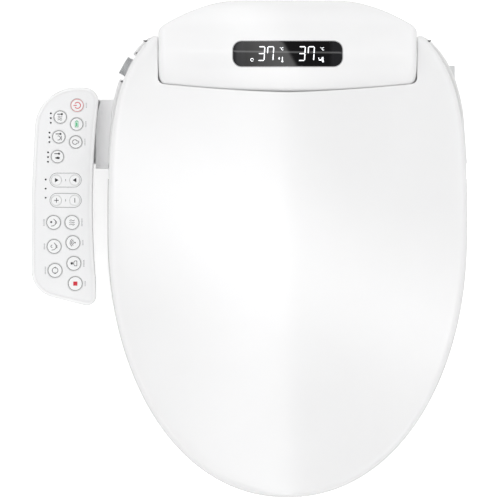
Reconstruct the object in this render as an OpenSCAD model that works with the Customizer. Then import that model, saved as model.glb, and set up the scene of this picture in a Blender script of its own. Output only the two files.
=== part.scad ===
// Electric bidet seat: mounting plate, base with wash, dry and water units, seat, lid and side panel.
// X is across the seat, +Y is to the rear, Z is up. The origin is midway between the two fixing
// bolts, on the plane of the toilet rim.

/* [Lid and seat] */
// Half width of the lid
lid_a = 190; // [188:0.5:191]
// Distance from the widest line to the front of the lid
lid_b = 280; // [276:1:281]
// How far the seat's edge stands outside the lid
seat_peek = 1.5; // [1:0.1:2]
// Height of the lid's top at its front edge
lid_front_z = 66; // [64:1:68]
// Height of the lid's top at its rear edge
lid_rear_z = 116; // [116:1:117]
// Wall of the lid
lid_wall = 3.2; // [2.8:0.1:3.4]
// Half length of the seat's opening
hole_b = 150; // [147:1:151]
// Half width of the seat's opening
hole_a = 106; // [102:1:108]

/* [Base] */
// Half width of the rear housing
house_w = 136.5; // [136:0.1:136.5]
// Radius of the housing's hump about the hinge line, at the middle
hump_r = 62; // [61:0.1:62.2]
// How much smaller that radius is at the housing's ends
hump_fall = 7.5; // [7:0.1:8]
// Top of the deck in front of the housing
deck_z = 50; // [49:0.5:50]
// Wall of the casings
wall = 2.5; // [2.2:0.1:2.6]

/* [Hinge] */
// Hinge line, distance behind the fixing bolts
hinge_y = 8; // [7.8:0.1:8.2]
// Hinge line, height
hinge_z = 68; // [67.8:0.1:68.2]
// Radius of the hinge shafts
shaft_r = 4.5; // [4:0.1:4.6]

/* [Fixing] */
// Distance between the fixing bolts
bolt_pitch = 140; // [138:1:142]
// Width of the bolt slots
bolt_slot_w = 8.5; // [8:0.1:9]
// Length of the bolt slots
bolt_slot_l = 24; // [20:1:26]

/* [Wash] */
// Radius of the wands
wand_r = 6; // [5.8:0.1:6]
// Slope of the wands below the level
wand_tilt = 27; // [26.5:0.5:27.5]
// Radius of the water inlet's thread
inlet_r = 10.48; // [10:0.01:10.6]

/* [Panel] */
// Top of the control panel
panel_z = 60; // [59:0.5:61]
// Height of the control panel
panel_h = 22; // [21:0.5:23]
// Gap round each key
key_gap = 0.25; // [0.2:0.05:0.3]

/* [Hidden] */
$fn = 48;
eps = 0.01;

// Outlines seen from above are superellipses about the line mid_y.
mid_y = -190;
n_front = 2.1;
n_rear = 3.4;
rear_b = 240;
lid_rear_y = 18.5;
seat_rear_y = -6;
seat_a = lid_a + seat_peek;
seat_b = lid_b + seat_peek;
hole_y = -250;
hole_n = 2.3;
around = 72;

// Heights. The seat's shoulder and the lid's lower edge rise evenly to the rear.
front_y = mid_y - seat_b;
shoulder_front_z = 42;
shoulder_slope = 18 / 490;
skirt_gap = 2.5;
lid_crown = 4;
lid_fall = 6;
seat_bottom_z = 10;
seat_rear_bottom_z = 52;
seat_step_y = -132;
seat_wall = 3;

// Housing and wings.
wing_a = 192;
wing_b = 232;
base_z = 2;
split_z = 30;
base_front_y = -105;
wing_front_y = -120;
seat_gap_y = -56;

// Hinge ears, along X from the housing's end.
lid_lug_x = house_w + 0.8;
lug_t = 3;
seat_lug_x = lid_lug_x + lug_t + 0.5;
seat_lug_t = 4;
lug_r = 7;
run_gap = 0.06;
flat_z = 3.5;
damper_r = 9;

// Mounting plate and its slide.
plate_w = 200;
plate_front_y = -45;
plate_rear_y = 40;
recess_z = 9;

// Panel keys: name order is that of NODES, each [x, y, radius].
keys = [[-223.5, -54, 7.1], [-224, -74, 7.1], [-225, -93, 7.1], [-241.5, -66.5, 7.1],
    [-243, -87.5, 7.1], [-244.5, -108.5, 7.1], [-226, -133.5, 5.4], [-245.5, -133.5, 5.4],
    [-245.5, -155, 5.4], [-226, -155, 5.4], [-248.5, -178.5, 7.9], [-229, -178.5, 7.9],
    [-228, -200, 7.9], [-248, -204, 7.9], [-227, -222, 7.9], [-247, -229.5, 7.9],
    [-225.5, -243.5, 7.9]];
key_list = [for (i = [0 : len(keys) - 1]) i];
film_t = 0.4;
plate_t = 2.5;
plate_z = panel_z - film_t - plate_t;
board_top_z = plate_z - 4.5;
// Indicator lights in columns of three: [x, middle y, pitch]
lamp_columns = [[-251.5, -67.5, 5], [-253, -88, 5], [-254.5, -109, 5], [-257, -142.5, 9.7]];

// Wand drive.
module_mm = 1;
teeth = 12;
pitch_r = module_mm * teeth / 2;
rack_z = -8;
pinion_y = 50;
wand_len = 150;
tip_len = 16;
wand_x = 11;
wand_travel = 95;
tip_rest = [0, -100, 15.5];

// ---------------------------------------------------------------- shape helpers

function spow(c, p) = sign(c) * pow(abs(c), p);
function smooth(u) = let(v = min(1, max(0, u))) v * v * (3 - 2 * v);

// A point of the lid-like outline at angle t, cut straight at rear_y.
function outline_pt(a, bf, rear_y, t) = let(s = sin(t), n = s < 0 ? n_front : n_rear)
    [a * spow(cos(t), 2 / n), min(rear_y, mid_y + (s < 0 ? bf : rear_b) * spow(s, 2 / n))];
function outline(a, bf, rear_y, steps = around) =
    [for (i = [0 : steps - 1]) outline_pt(a, bf, rear_y, 360 * i / steps)];
function hole_pt(grow, t) = [(hole_a + grow) * spow(cos(t), 2 / hole_n),
    hole_y + (hole_b + grow) * spow(sin(t), 2 / hole_n)];

function shoulder_z(y) = shoulder_front_z + shoulder_slope * (y - front_y);
function skirt_z(y) = shoulder_z(y) + skirt_gap;
function lid_z(x, y) = let(u = (y + lid_b - mid_y) / (lid_rear_y + lid_b - mid_y))
    lid_front_z + (lid_rear_z - lid_front_z) * u + 4 * lid_crown * u * (1 - u)
    - lid_fall * pow(x / lid_a, 2);

// Where the lid ends in front of the housing.
function seam_y(x) = -40.8 + 7.4 * pow(abs(x) / 120, 1.5);
// Radius of the housing's hump at x, with its ends rounded off.
end_r = 7;
function hump_at(x) = hump_r - hump_fall * pow(x / house_w, 2) - end_r
    + sqrt(pow(end_r, 2) - pow(max(0, min(end_r - 0.1, abs(x) - house_w + end_r)), 2));

// Triangles between ring i and the next, each of n points; closed when wrap is true.
function strips(rings, n, wrap = false) = [for (j = [0 : rings - (wrap ? 1 : 2)], i = [0 : n - 1])
    let(k = (i + 1) % n, m = (j + 1) % rings, a = j * n + i, b = j * n + k, c = m * n + i, d = m * n + k)
    each [[a, b, d], [a, d, c]]];
function flat_list(l) = [for (a = l, b = a) b];

// A 2D profile drawn in (Y, Z), extruded along X from x0 to x1.
module along_x(x0, x1) {
    translate([x0, 0, 0]) rotate([90, 0, 90]) linear_extrude(x1 - x0) children();
}

// The same on both sides of the middle.
module both() {
    children();
    mirror([1, 0, 0]) children();
}

module rod_x(x0, x1, r) {
    translate([x0, hinge_y, hinge_z]) rotate([0, 90, 0]) cylinder(r = r, h = x1 - x0);
}

module block(lo, hi) {
    translate(lo) cube(hi - lo);
}

// ---------------------------------------------------------------- lid

// One ring of the lid's surface: outline drawn in by inset, with height h below the top face, or on
// the skirt's lower edge when h is undef.
function lid_ring(inset, h) = [for (p = outline(lid_a - inset, lid_b - inset, lid_rear_y - inset))
    [p.x, p.y, is_undef(h) ? skirt_z(p.y) : lid_z(p.x, p.y) - h]];
function lid_disc(k, h) = [for (p = outline(lid_a, lid_b, lid_rear_y))
    let(x = p.x * k, y = mid_y + (p.y - mid_y) * k) [x, y, lid_z(x, y) - h]];

module lid_shell() {
    w = lid_wall;
    rings = [lid_disc(0.3, 0), lid_disc(0.65, 0), lid_ring(7, 0), lid_ring(2, 1.6), lid_ring(0, 6),
        lid_ring(0, undef), lid_ring(w, undef), lid_ring(w, w + 4), lid_ring(7 + w, w),
        lid_disc(0.65, w), lid_disc(0.3, w)];
    n = around;
    last = len(rings) * n;
    top = [0, mid_y, lid_z(0, mid_y)];
    polyhedron(concat(flat_list(rings), [top, top - [0, 0, w]]), concat(strips(len(rings), n),
        [for (i = [0 : n - 1]) [last, (i + 1) % n, i]],
        [for (i = [0 : n - 1]) [last + 1, last - n + i, last - n + (i + 1) % n]]));
}

// The lid's rear edge follows the housing, with rounded inner corners.
module lid_notch() {
    half = house_w + 0.5;
    r = 7;
    translate([0, 0, 50]) linear_extrude(90) offset(r = r, $fn = 32) offset(delta = -r) polygon(concat(
        [[half, 60], [-half, 60]],
        [for (i = [-8 : 8]) let(x = half * i / 8) [x, seam_y(x)]]));
}

module lug_profile(reach) {
    translate([hinge_y, hinge_z]) {
        circle(lug_r);
        translate([-lug_r, 0]) square([2 * lug_r, reach]);
    }
}

module drive_hole(x0, x1, fit) {
    intersection() {
        rod_x(x0, x1, shaft_r + fit);
        block([x0, 0, hinge_z - flat_z - fit], [x1, 16, hinge_z + flat_z + fit]);
    }
}

module lid() {
    color("white") difference() {
        union() {
            difference() {
                lid_shell();
                lid_notch();
                // The skirt is open behind the hinge line, where the seat's ears come through.
                block([-200, hinge_y - 10, 40], [200, 40, hinge_z + 2]);
            }
            both() along_x(lid_lug_x, lid_lug_x + lug_t) lug_profile(41);
        }
        // Room for the seat's ears.
        both() rod_x(seat_lug_x - 0.5, seat_lug_x + seat_lug_t + 0.6, lug_r + 0.6);
        drive_hole(-lid_lug_x - lug_t - 1, -lid_lug_x + 1, run_gap);
        rod_x(lid_lug_x - 1, lid_lug_x + lug_t + 1, shaft_r + run_gap);
    }
}

// Rubber bumpers under the lid: [x, y], each reaching down to the seat.
lid_bumper_at = [[120, -330], [82, -425]];
module lid_bumpers() {
    color("lightgray") both() for (p = lid_bumper_at) {
        top = lid_z(p.x, p.y) - lid_wall;
        low = shoulder_z(p.y) + 5.6;
        translate([p.x, p.y, low]) {
            cylinder(r1 = 4.5, r2 = 6, h = 4);
            translate([0, 0, 4]) cylinder(r = 6, h = top - low - 7);
        }
    }
}

module hinge_shaft(sign_x, drive_from, drive_to) {
    difference() {
        rod_x(sign_x < 0 ? -seat_lug_x - seat_lug_t : 104, sign_x < 0 ? -104 : seat_lug_x + seat_lug_t,
            shaft_r);
        for (z = [flat_z, -flat_z - 3]) block([drive_from, 0, hinge_z + z], [drive_to, 16, hinge_z + z + 3]);
    }
}

module lid_hinge_shaft() {
    color("silver") hinge_shaft(-1, -lid_lug_x - lug_t - 0.25, -lid_lug_x + 0.4);
}

module seat_hinge_shaft() {
    color("silver") hinge_shaft(1, seat_lug_x - 0.25, seat_lug_x + seat_lug_t + 1);
}

// ---------------------------------------------------------------- seat

// The seat's section from its outer edge, s = 0, to its inner edge, s = 1, as [s, height above the
// shoulder]; a height of undef is the seat's underside.
seat_section = [[0, undef], [0, -7], [0.03, -2], [0.1, 1.5], [0.35, 4.5], [0.65, 4.5], [0.9, 0.5],
    [0.98, -5], [1, -12], [1, undef], [0.963, undef], [0.963, -13], [0.945, -7], [0.88, -3],
    [0.65, 1.3], [0.35, 1.3], [0.12, -1.8], [0.06, -5], [0.038, -9], [0.038, undef]];

function seat_ring(s, h) = [for (i = [0 : around - 1])
    let(t = -360 * i / around, o = outline_pt(seat_a, seat_b, seat_rear_y, t), p = o + (hole_pt(0, t) - o) * s)
    [p.x, p.y, is_undef(h) ? seat_bottom_z : shoulder_z(p.y) + h]];

module seat_shell() {
    polyhedron(flat_list([for (q = seat_section) seat_ring(q[0], q[1])]),
        strips(len(seat_section), around, true));
}

// Everything that the base and its housing take from the seat.
module seat_cut(gap) {
    block([-200, seat_step_y - gap, -1], [200, 40, seat_rear_bottom_z + gap]);
    block([-house_w - 0.4 - gap, seat_gap_y - gap, 40], [house_w + 0.4 + gap, 40, 90]);
}

module seat_upper() {
    color("white") difference() {
        union() {
            difference() {
                seat_shell();
                seat_cut(0);
            }
            block([-house_w, seat_gap_y - seat_wall, seat_rear_bottom_z],
                [house_w, seat_gap_y, shoulder_z(seat_gap_y) + 3]);
            both() {
                along_x(seat_lug_x, seat_lug_x + seat_lug_t) {
                    translate([hinge_y, hinge_z]) circle(lug_r);
                    polygon([[seat_rear_y - 14, seat_rear_bottom_z + 1], [hinge_y - 2, hinge_z - lug_r + 0.3],
                        [hinge_y, hinge_z + lug_r - 0.5], [seat_rear_y - 14, shoulder_z(seat_rear_y) + 3]]);
                }
                block([house_w + 0.4, seat_gap_y - seat_wall, seat_rear_bottom_z],
                    [house_w + 0.4 + seat_wall, seat_rear_y, shoulder_z(seat_rear_y)]);
                block([house_w + 0.4, seat_rear_y - seat_wall, seat_rear_bottom_z],
                    [160, seat_rear_y, shoulder_z(seat_rear_y) - 6]);
            }
        }
        rod_x(-seat_lug_x - seat_lug_t - 1, -seat_lug_x + 1, shaft_r + run_gap);
        drive_hole(seat_lug_x - 1, seat_lug_x + seat_lug_t + 1, run_gap);
    }
}

// The space between the seat's outer and inner walls, drawn in by the share s of the seat's width.
module seat_plan(s) {
    gap = house_w + 0.4 + seat_wall + 0.4;
    difference() {
        polygon([for (p = seat_ring(s, 0)) [p.x, p.y]]);
        polygon([for (p = seat_ring(1 - s, 0)) [p.x, p.y]]);
        translate([-gap, seat_gap_y - seat_wall - 0.4]) square([2 * gap, 90]);
        translate([-200, seat_rear_y - seat_wall - 0.4]) square([400, 90]);
    }
}

module seat_lower() {
    t = 2.4;
    color("whitesmoke") intersection() {
        linear_extrude(80) seat_plan(0.046);
        union() {
            block([-200, -480, seat_bottom_z], [200, seat_step_y - 0.1, seat_bottom_z + t]);
            block([-200, seat_step_y - 0.1 - t, seat_bottom_z],
                [200, seat_step_y - 0.1, seat_rear_bottom_z - 10]);
        }
    }
}

// Heating foil stuck under the seat's top, as a thin ring.
module seat_heater() {
    heater = [[0.37, 0.9], [0.63, 0.9], [0.63, 0.3], [0.37, 0.3]];
    color("orange") difference() {
        polyhedron(flat_list([for (q = heater) seat_ring(q[0], q[1])]), strips(len(heater), around, true));
        block([-200, seat_gap_y - 8, 0], [200, 40, 90]);
    }
}

// Rubber bumpers under the seat, on the toilet rim: [x, y, turn]
seat_bumper_at = [[150, -215, 90], [104, -390, 50]];
module seat_bumpers() {
    color("lightgray") both() for (p = seat_bumper_at) translate([p.x, p.y, 0]) rotate([0, 0, p[2]]) {
        linear_extrude(seat_bottom_z) {
            square([30, 14], center = true);
            for (x = [-15, 15]) translate([x, 0]) circle(7);
        }
    }
}

// ---------------------------------------------------------------- base casings

// Rear outline of the housing: flat in the middle, then falling away to rounded corners.
function house_rear_y(x) = 56.2 - 29 * pow(max(0, abs(x) - 55) / 81.5, 1.75);
module house_plan() {
    offset(r = 8, $fn = 32) offset(delta = -8) polygon(concat([[-house_w, -80], [house_w, -80]],
        [for (i = [12 : -1 : -12]) let(x = house_w * i / 12) [x, house_rear_y(x)]]));
}

function wing_pt(t) = [wing_a * spow(cos(t), 0.5), mid_y + wing_b * spow(sin(t), 0.5)];
function base_front(x) = base_front_y + (wing_front_y - base_front_y) * smooth((abs(x) - 85) / 60);
module wings_plan() {
    offset(r = 6, $fn = 32) offset(delta = -6) polygon(concat(
        [for (i = [0 : 24]) let(t = 17.5 + 145 * i / 24, p = wing_pt(t)) [p.x, min(lid_rear_y, p.y)]],
        [for (i = [-12 : 12]) [191.6 * i / 12, base_front(191.6 * i / 12)]]));
}

// Bay in the left wing for the water inlet, square to the inlet's axis.
inlet_turn = 150;
inlet_z = 22;
inlet_tip = [-175, -10];
inlet_len = 12;
module inlet_frame() {
    translate([inlet_tip.x, inlet_tip.y, inlet_z]) rotate([0, 0, inlet_turn]) rotate([0, 90, 0]) children();
}

module base_plan() {
    difference() {
        union() {
            wings_plan();
            intersection() {
                house_plan();
                translate([-150, -60]) square([300, 200]);
            }
        }
        translate(inlet_tip) rotate(inlet_turn) translate([-inlet_len, -15]) square([60, 30]);
    }
}

// The hump: a barrel about the hinge line, its radius falling to the ends, standing on the deck.
module barrel(inset, foot_z) {
    half = [18, 37, 56, 75, 94, 112, 129.5, 131.5, 133.2, 134.6, 135.7, 136.4, house_w + 2];
    columns = concat([for (i = [len(half) - 1 : -1 : 0]) -half[i]], [0], half);
    na = 20;
    n = na + 3;
    // One cross-section at x, from the front foot over the top to the rear foot.
    pts = [for (x = columns) let(r = hump_at(x) - inset) each concat(
        [[x, hinge_y - r, foot_z]],
        [for (j = [0 : na]) let(a = 180 - 180 * j / na) [x, hinge_y + r * cos(a), hinge_z + r * sin(a)]],
        [[x, hinge_y + r, foot_z]])];
    rows = len(columns);
    polyhedron(pts, concat(
        [for (i = [0 : rows - 2], j = [0 : n - 1]) let(k = (j + 1) % n, a = i * n + j, b = i * n + k)
            each [[a, b, b + n], [a, b + n, a + n]]],
        [[for (j = [n - 1 : -1 : 0]) j]], [[for (j = [0 : n - 1]) (rows - 1) * n + j]]));
}

module hump(inset, foot_z) {
    intersection() {
        barrel(inset, foot_z);
        translate([0, 0, foot_z]) linear_extrude(100) offset(delta = -inset) house_plan();
    }
}

lens_w = 116;
lens_h = 27;
lens_y = -0.8;
module lens_plan(grow) {
    n = 16;
    r = lens_h / 2 + grow;
    c = lens_w / 2 - lens_h / 2;
    translate([0, lens_y]) polygon([for (s = [1, -1], i = [0 : n]) let(a = s * 90 - 180 * i / n * 1)
        [s * c + r * cos(a), r * sin(a)]]);
}

screw_at = [[158, -98], [140, 2]];
button_y = -20;
gland_x = 50;

module lower_casing() {
    color("white") difference() {
        union() {
            difference() {
                translate([0, 0, base_z]) linear_extrude(split_z - base_z) base_plan();
                translate([0, 0, base_z + wall]) linear_extrude(40) offset(delta = -wall) base_plan();
            }
            // Roof and walls of the recess for the mounting plate.
            intersection() {
                block([-plate_w / 2 - 6, plate_front_y - 6, base_z], [plate_w / 2 + 6, 60, recess_z + wall]);
                translate([0, 0, base_z]) linear_extrude(30) base_plan();
            }
            both() for (p = screw_at) translate([p.x, p.y, base_z + 1]) cylinder(r = 4, h = split_z - base_z - 1.2);
            // Bosses for the dryer flap's pins.
            for (x = [30.2, 70.3]) block([x, base_front_y + 1, 22], [x + 3.5, base_front_y + 5, split_z - 0.2]);
        }
        // Recess, open to the rear, with lips that hold the plate's edges.
        block([-plate_w / 2 + 7.5, plate_front_y - 3, 0], [plate_w / 2 - 7.5, 80, recess_z]);
        block([-plate_w / 2 - 0.5, plate_front_y - 3, 3.2], [plate_w / 2 + 0.5, 80, 6.6]);
        block([77, button_y - 3.2, 8], [87, button_y + 3.2, 15]);
        // Nozzle port and dryer outlet.
        block([-20, base_front_y - 1, 0], [20, base_front_y + 4, 27]);
        block([33.7, base_front_y - 1, 11], [70.3, base_front_y + 5, 29.2]);
        translate([30.4, base_front_y + 1.4, 27.2]) rotate([0, 90, 0]) cylinder(r = 1, h = 43);
        // Night light, release button, water inlet and cord gland.
        translate([-52, base_front_y + 5, 16]) rotate([90, 0, 0]) cylinder(r = 5, h = 10);
        block([150, button_y - 9.3, 9.7], [200, button_y + 9.3, 24.3]);
        inlet_frame() translate([0, 0, -30]) cylinder(r = 8.2, h = 25);
        translate([gland_x, 40, 20]) rotate([-90, 0, 0]) cylinder(r = 6.05, h = 30);
        both() for (p = screw_at) translate([p.x, p.y, 0]) {
            cylinder(r = 1.8, h = 40);
            cylinder(r = 3.7, h = base_z + 2.4);
        }
        // Air inlet slots of the dryer.
        for (i = [0 : 6]) block([90 + 6 * i, -66, 0], [93 + 6 * i, -54, 8]);
    }
}

module upper_casing() {
    color("white") difference() {
        union() {
            translate([0, 0, split_z + 0.1]) linear_extrude(deck_z - split_z - 0.1) base_plan();
            hump(0, deck_z - 1);
        }
        translate([0, 0, split_z]) linear_extrude(deck_z - wall - split_z) offset(delta = -wall) base_plan();
        hump(wall, deck_z - wall - 1);
        translate([0, 0, 100]) linear_extrude(40) lens_plan(0.15);
        both() rod_x(house_w - wall - 1, house_w + 1, shaft_r + 0.5);
    }
    // Bosses that the case screws bite into.
    color("white") both() for (p = screw_at) translate([p.x, p.y, split_z + 0.1]) difference() {
        cylinder(r = 4, h = deck_z - split_z - wall / 2);
        cylinder(r = 1.55, h = 14);
    }
}

module case_screws() {
    color("silver") both() for (p = screw_at) translate([p.x, p.y, base_z + 0.6]) difference() {
        union() {
            cylinder(r = 3.4, h = 1.7);
            cylinder(r = 1.5, h = 38);
        }
        for (a = [0, 90]) rotate([0, 0, a]) translate([-2, -0.35, -1]) cube([4, 0.7, 2]);
    }
}

module display_lens() {
    color([0.05, 0.05, 0.06]) intersection() {
        translate([0, 0, 100]) linear_extrude(40) lens_plan(0);
        difference() {
            barrel(-0.25, deck_z);
            barrel(wall - 0.2, deck_z - 2);
        }
    }
}

module display_board() {
    z = 117;
    color("darkgreen") block([-52, -13, z], [52, 10, z + 1.6]);
    color("dimgray") for (x = [-31, 10]) block([x, -11, z + 1.5], [x + 25, 8, z + 4]);
}

module main_board() {
    color("darkgreen") block([-88, 43, 24], [88, 44.6, 92]);
    color("dimgray") {
        for (x = [-70, -20, 40]) block([x, 36, 40], [x + 22, 43.05, 62]);
        block([-60, 38, 70], [-30, 43.05, 84]);
    }
}

module cord_gland() {
    color("gray") translate([gland_x, 46, 20]) rotate([-90, 0, 0]) difference() {
        union() {
            cylinder(r = 6, h = 10);
            cylinder(r = 8, h = 7);
        }
        translate([0, 0, -1]) cylinder(r = 3.6, h = 12);
    }
}

module night_light() {
    color("lightyellow") translate([-52, base_front_y + 6, 16]) rotate([90, 0, 0]) {
        cylinder(r = 4.9, h = 6);
        cylinder(r = 6.5, h = 3.4);
    }
}

module hinge_dampers() {
    color("dimgray") both() difference() {
        union() {
            rod_x(100, house_w - wall - 0.1, damper_r);
            block([100, hinge_y - 4, hinge_z - 14], [118, hinge_y + 4, hinge_z - 6]);
        }
        rod_x(103.7, house_w, shaft_r + run_gap);
    }
}

// ---------------------------------------------------------------- water, wash and dryer

module water_inlet() {
    color("lightgray") inlet_frame() difference() {
        union() {
            translate([0, 0, -inlet_len]) cylinder(r = inlet_r, h = inlet_len);
            translate([0, 0, -inlet_len - 14]) cylinder(r = 8, h = 15);
            translate([0, 0, -inlet_len - 18]) cylinder(r = 11, h = 5);
        }
        translate([0, 0, -inlet_len - 12]) cylinder(r = 6.5, h = 30);
        translate([0, 0, -inlet_len - 20]) cylinder(r = 4, h = 12);
    }
}

module inlet_filter() {
    color("steelblue") inlet_frame() translate([0, 0, -inlet_len - 11.9]) difference() {
        union() {
            cylinder(r = 5.4, h = 14);
            cylinder(r = 6.4, h = 1.5);
        }
        translate([0, 0, 1]) cylinder(r = 4.6, h = 20);
    }
}

module solenoid_valve() {
    color("gainsboro") {
        block([-150, -56, 8], [-118, -40, 26]);
        translate([-142, -48, 16]) cylinder(r = 7, h = 22);
    }
    color("dimgray") block([-132, -54, 25.9], [-119, -42, 42]);
}

module water_heater() {
    color("gainsboro") {
        block([-148, -96, 8], [-62, -62, 38]);
        for (x = [-138, -72]) translate([x, -80, 37]) cylinder(r = 4, h = 8);
    }
}

fan = [100, -60];
fan_r = 23;
module blower_housing() {
    color("gainsboro") difference() {
        union() {
            translate([fan.x, fan.y, 11.7]) cylinder(r = fan_r + 5, h = 30.3);
            block([36, base_front_y + 6.5, 10], [fan.x, fan.y - 12, 30]);
        }
        translate([fan.x, fan.y, 13.4]) cylinder(r = fan_r + 3, h = 23.6);
        block([38, base_front_y + 6, 12], [fan.x, fan.y - 14, 28]);
        translate([fan.x, fan.y, 11]) cylinder(r = 14, h = 4);
        translate([fan.x, fan.y, 30]) cylinder(r = 2.06, h = 10);
    }
}

module blower_wheel() {
    color("dimgray") translate([fan.x, fan.y, 0]) {
        translate([0, 0, 15]) difference() {
            cylinder(r = fan_r, h = 18);
            translate([0, 0, -1]) cylinder(r = fan_r - 6, h = 17);
            // The blades are what the slots leave of the rim.
            for (i = [0 : 19]) rotate([0, 0, 18 * i + 5]) translate([fan_r - 7, -1.6, -1]) cube([9, 3.2, 15]);
        }
        translate([0, 0, 31]) cylinder(r = 2, h = 7);
        translate([0, 0, 22]) cylinder(r1 = 3, r2 = 6, h = 10);
    }
}

module dryer_flap() {
    y = base_front_y + 1.4;
    color("white") {
        block([34.1, y - 0.7, 11.5], [69.9, y + 0.7, 27.2]);
        translate([34.1, y, 27.2]) rotate([0, 90, 0]) cylinder(r = 1.3, h = 35.8);
        translate([31, y, 27.2]) rotate([0, 90, 0]) cylinder(r = 0.94, h = 42);
    }
}

module release_button() {
    color("gainsboro") {
        block([166, button_y - 9, 10], [179, button_y + 9, 24]);
        block([82, button_y - 4, 12], [167, button_y + 4, 16]);
        block([83, button_y - 2.6, 6.6], [86, button_y + 2.6, 13]);
    }
}

module mounting_plate() {
    half = plate_w / 2;
    color("silver") difference() {
        union() {
            block([-half, plate_front_y, 3.5], [half, plate_rear_y, 6]);
            block([-half + 8, plate_front_y, 1], [half - 8, plate_rear_y, 4]);
            // Catch of the release button, in two posts.
            for (y = [button_y - 12, button_y + 3]) block([82.5, y, 5], [86.5, y + 9, 8.6]);
        }
        both() block([bolt_pitch / 2 - 22, -18, 0], [bolt_pitch / 2 + 22, 18, 8]);
        // Grooves for the pads.
        for (y = [-38, 30]) block([-84, y - 4.2, 0], [84, y + 4.2, 1.4]);
    }
}

module slot_inserts() {
    color("gray") both() translate([bolt_pitch / 2, 0, 0]) difference() {
        block([-21.8, -17.8, 1], [21.8, 17.8, 6]);
        linear_extrude(20, center = true) {
            square([bolt_slot_l - bolt_slot_w, bolt_slot_w], center = true);
            for (s = [-1, 1]) translate([s * (bolt_slot_l - bolt_slot_w) / 2, 0]) circle(bolt_slot_w / 2);
        }
    }
}

module plate_pads() {
    color("dimgray") for (y = [-38, 30]) block([-84, y - 4, 0], [84, y + 4, 1.4]);
}

// Wash unit: everything below is drawn in the wand's frame, with the wands along +Y from their tips.
module wash_frame() {
    translate(tip_rest) rotate([wand_tilt, 0, 0]) children();
}

module wand(x) {
    wash_frame() translate([x, 0, 0]) {
        difference() {
            translate([0, tip_len, 0]) rotate([-90, 0, 0]) cylinder(r = wand_r, h = wand_len - tip_len);
            translate([0, tip_len - 1, 0]) rotate([-90, 0, 0]) cylinder(r = 3.6, h = wand_len);
        }
        rack();
    }
}

// A straight rack under the wand, its teeth pointing down; one gap is over the pinion at rest.
module rack() {
    p = PI * module_mm;
    first = -1;
    last = 30;
    translate([-2, 0, 0]) rotate([90, 0, 90]) linear_extrude(4) {
        translate([pinion_y + (first - 0.5) * p, rack_z + 1.25]) square([(last - first + 1) * p, 1.4]);
        for (i = [first : last]) translate([pinion_y + (i + 0.5) * p, rack_z])
            polygon([[-1.3, 1.3], [1.3, 1.3], [0.42, -0.65], [-0.42, -0.65]]);
    }
}

function involute(r, a) = [r * (cos(a) + a * PI / 180 * sin(a)), r * (sin(a) - a * PI / 180 * cos(a))];
// A pinion with 20 degree involute teeth, thinned for running clearance; one tooth points up.
module pinion(x) {
    base_r = pitch_r * cos(20);
    tip_r = pitch_r + module_mm;
    root_r = pitch_r - 1.25 * module_mm;
    roll = sqrt(pow(tip_r / base_r, 2) - 1) * 180 / PI;
    flank = [for (i = [0 : 5]) involute(base_r, roll * i / 5)];
    pitch_angle = tan(20) * 180 / PI - 20;
    half = 90 / teeth - 2.2 + pitch_angle;
    wash_frame() translate([x - 2.5, pinion_y, rack_z - pitch_r]) rotate([90, 0, 90]) {
        linear_extrude(5) for (i = [0 : teeth - 1]) rotate(90 + 360 * i / teeth) polygon(concat(
            [[root_r - 1, -1]], [for (p = flank) let(a = -half) [p.x * cos(a) - p.y * sin(a), p.x * sin(a) + p.y * cos(a)]],
            [for (k = [5 : -1 : 0]) let(p = flank[k], a = -half) [p.x * cos(a) - p.y * sin(a), -p.x * sin(a) - p.y * cos(a)]],
            [[root_r - 1, 1]]));
        cylinder(r = root_r, h = 5);
        // The motor's shaft, to whichever side the motor is on.
        translate([0, 0, x < 0 ? -15 : 0]) cylinder(r = 1.5, h = 20);
    }
}

module tip() {
    rotate([-90, 0, 0]) rotate_extrude() polygon([[0, 0], [2, 0], [4.6, 1.2], [wand_r, 4],
        [wand_r, tip_len - 0.05], [3.5, tip_len - 0.05], [3.5, tip_len + 7], [0, tip_len + 7]]);
}

module tip_with_holes(x, holes) {
    wash_frame() translate([x, 0, 0]) difference() {
        tip();
        for (q = holes) translate([q.x, 8 + q.y, 0]) cylinder(r = 0.7, h = 9);
    }
}

module rear_wand() { color("silver") wand(-wand_x); }
module front_wand() { color("silver") wand(wand_x); }
module rear_tip() { color("white") tip_with_holes(-wand_x, [[0, -1.6], [0, 1.6]]); }
module front_tip() {
    color("white") tip_with_holes(wand_x, [[0, 0], [2, 2], [-2, 2], [2, -2], [-2, -2]]);
}
module rear_pinion() { color("ivory") pinion(-wand_x); }
module front_pinion() { color("ivory") pinion(wand_x); }

module nozzle_cradle() {
    color("gainsboro") wash_frame() difference() {
        union() {
            for (y = [7, 100]) translate([-20, y, -9]) cube([40, 20, 18]);
            for (x = [-20, 18.5]) translate([x, 7, -9]) cube([1.5, 113, 14.5]);
            // Brackets that carry the motors.
            for (x = [-20, 18.5]) translate([x, pinion_y - 10, -25]) cube([1.5, 20, 17]);
        }
        for (x = [-wand_x, wand_x]) {
            translate([x, 0, 0]) rotate([-90, 0, 0]) cylinder(r = wand_r + run_gap, h = 140);
            translate([x - 2.6, 0, -10]) cube([5.2, 140, 6]);
        }
        translate([-30, pinion_y, rack_z - pitch_r]) rotate([0, 90, 0]) cylinder(r = 2, h = 60);
    }
    // Leg that stands on the recess roof.
    color("gainsboro") difference() {
        both() block([16.5, -26, recess_z + wall], [20, -12, 58]);
        wash_frame() translate([-30, 60, -9.01]) cube([60, 90, 40]);
    }
}

module nozzle_motors() {
    color("silver") wash_frame() translate([0, pinion_y, rack_z - pitch_r]) rotate([0, 90, 0]) both_z() difference() {
        translate([0, 0, 20.1]) cylinder(r = 10, h = 18);
        translate([0, 0, 19]) cylinder(r = 1.56, h = 12);
    }
}
module both_z() {
    children();
    mirror([0, 0, 1]) children();
}

// ---------------------------------------------------------------- side panel

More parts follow.
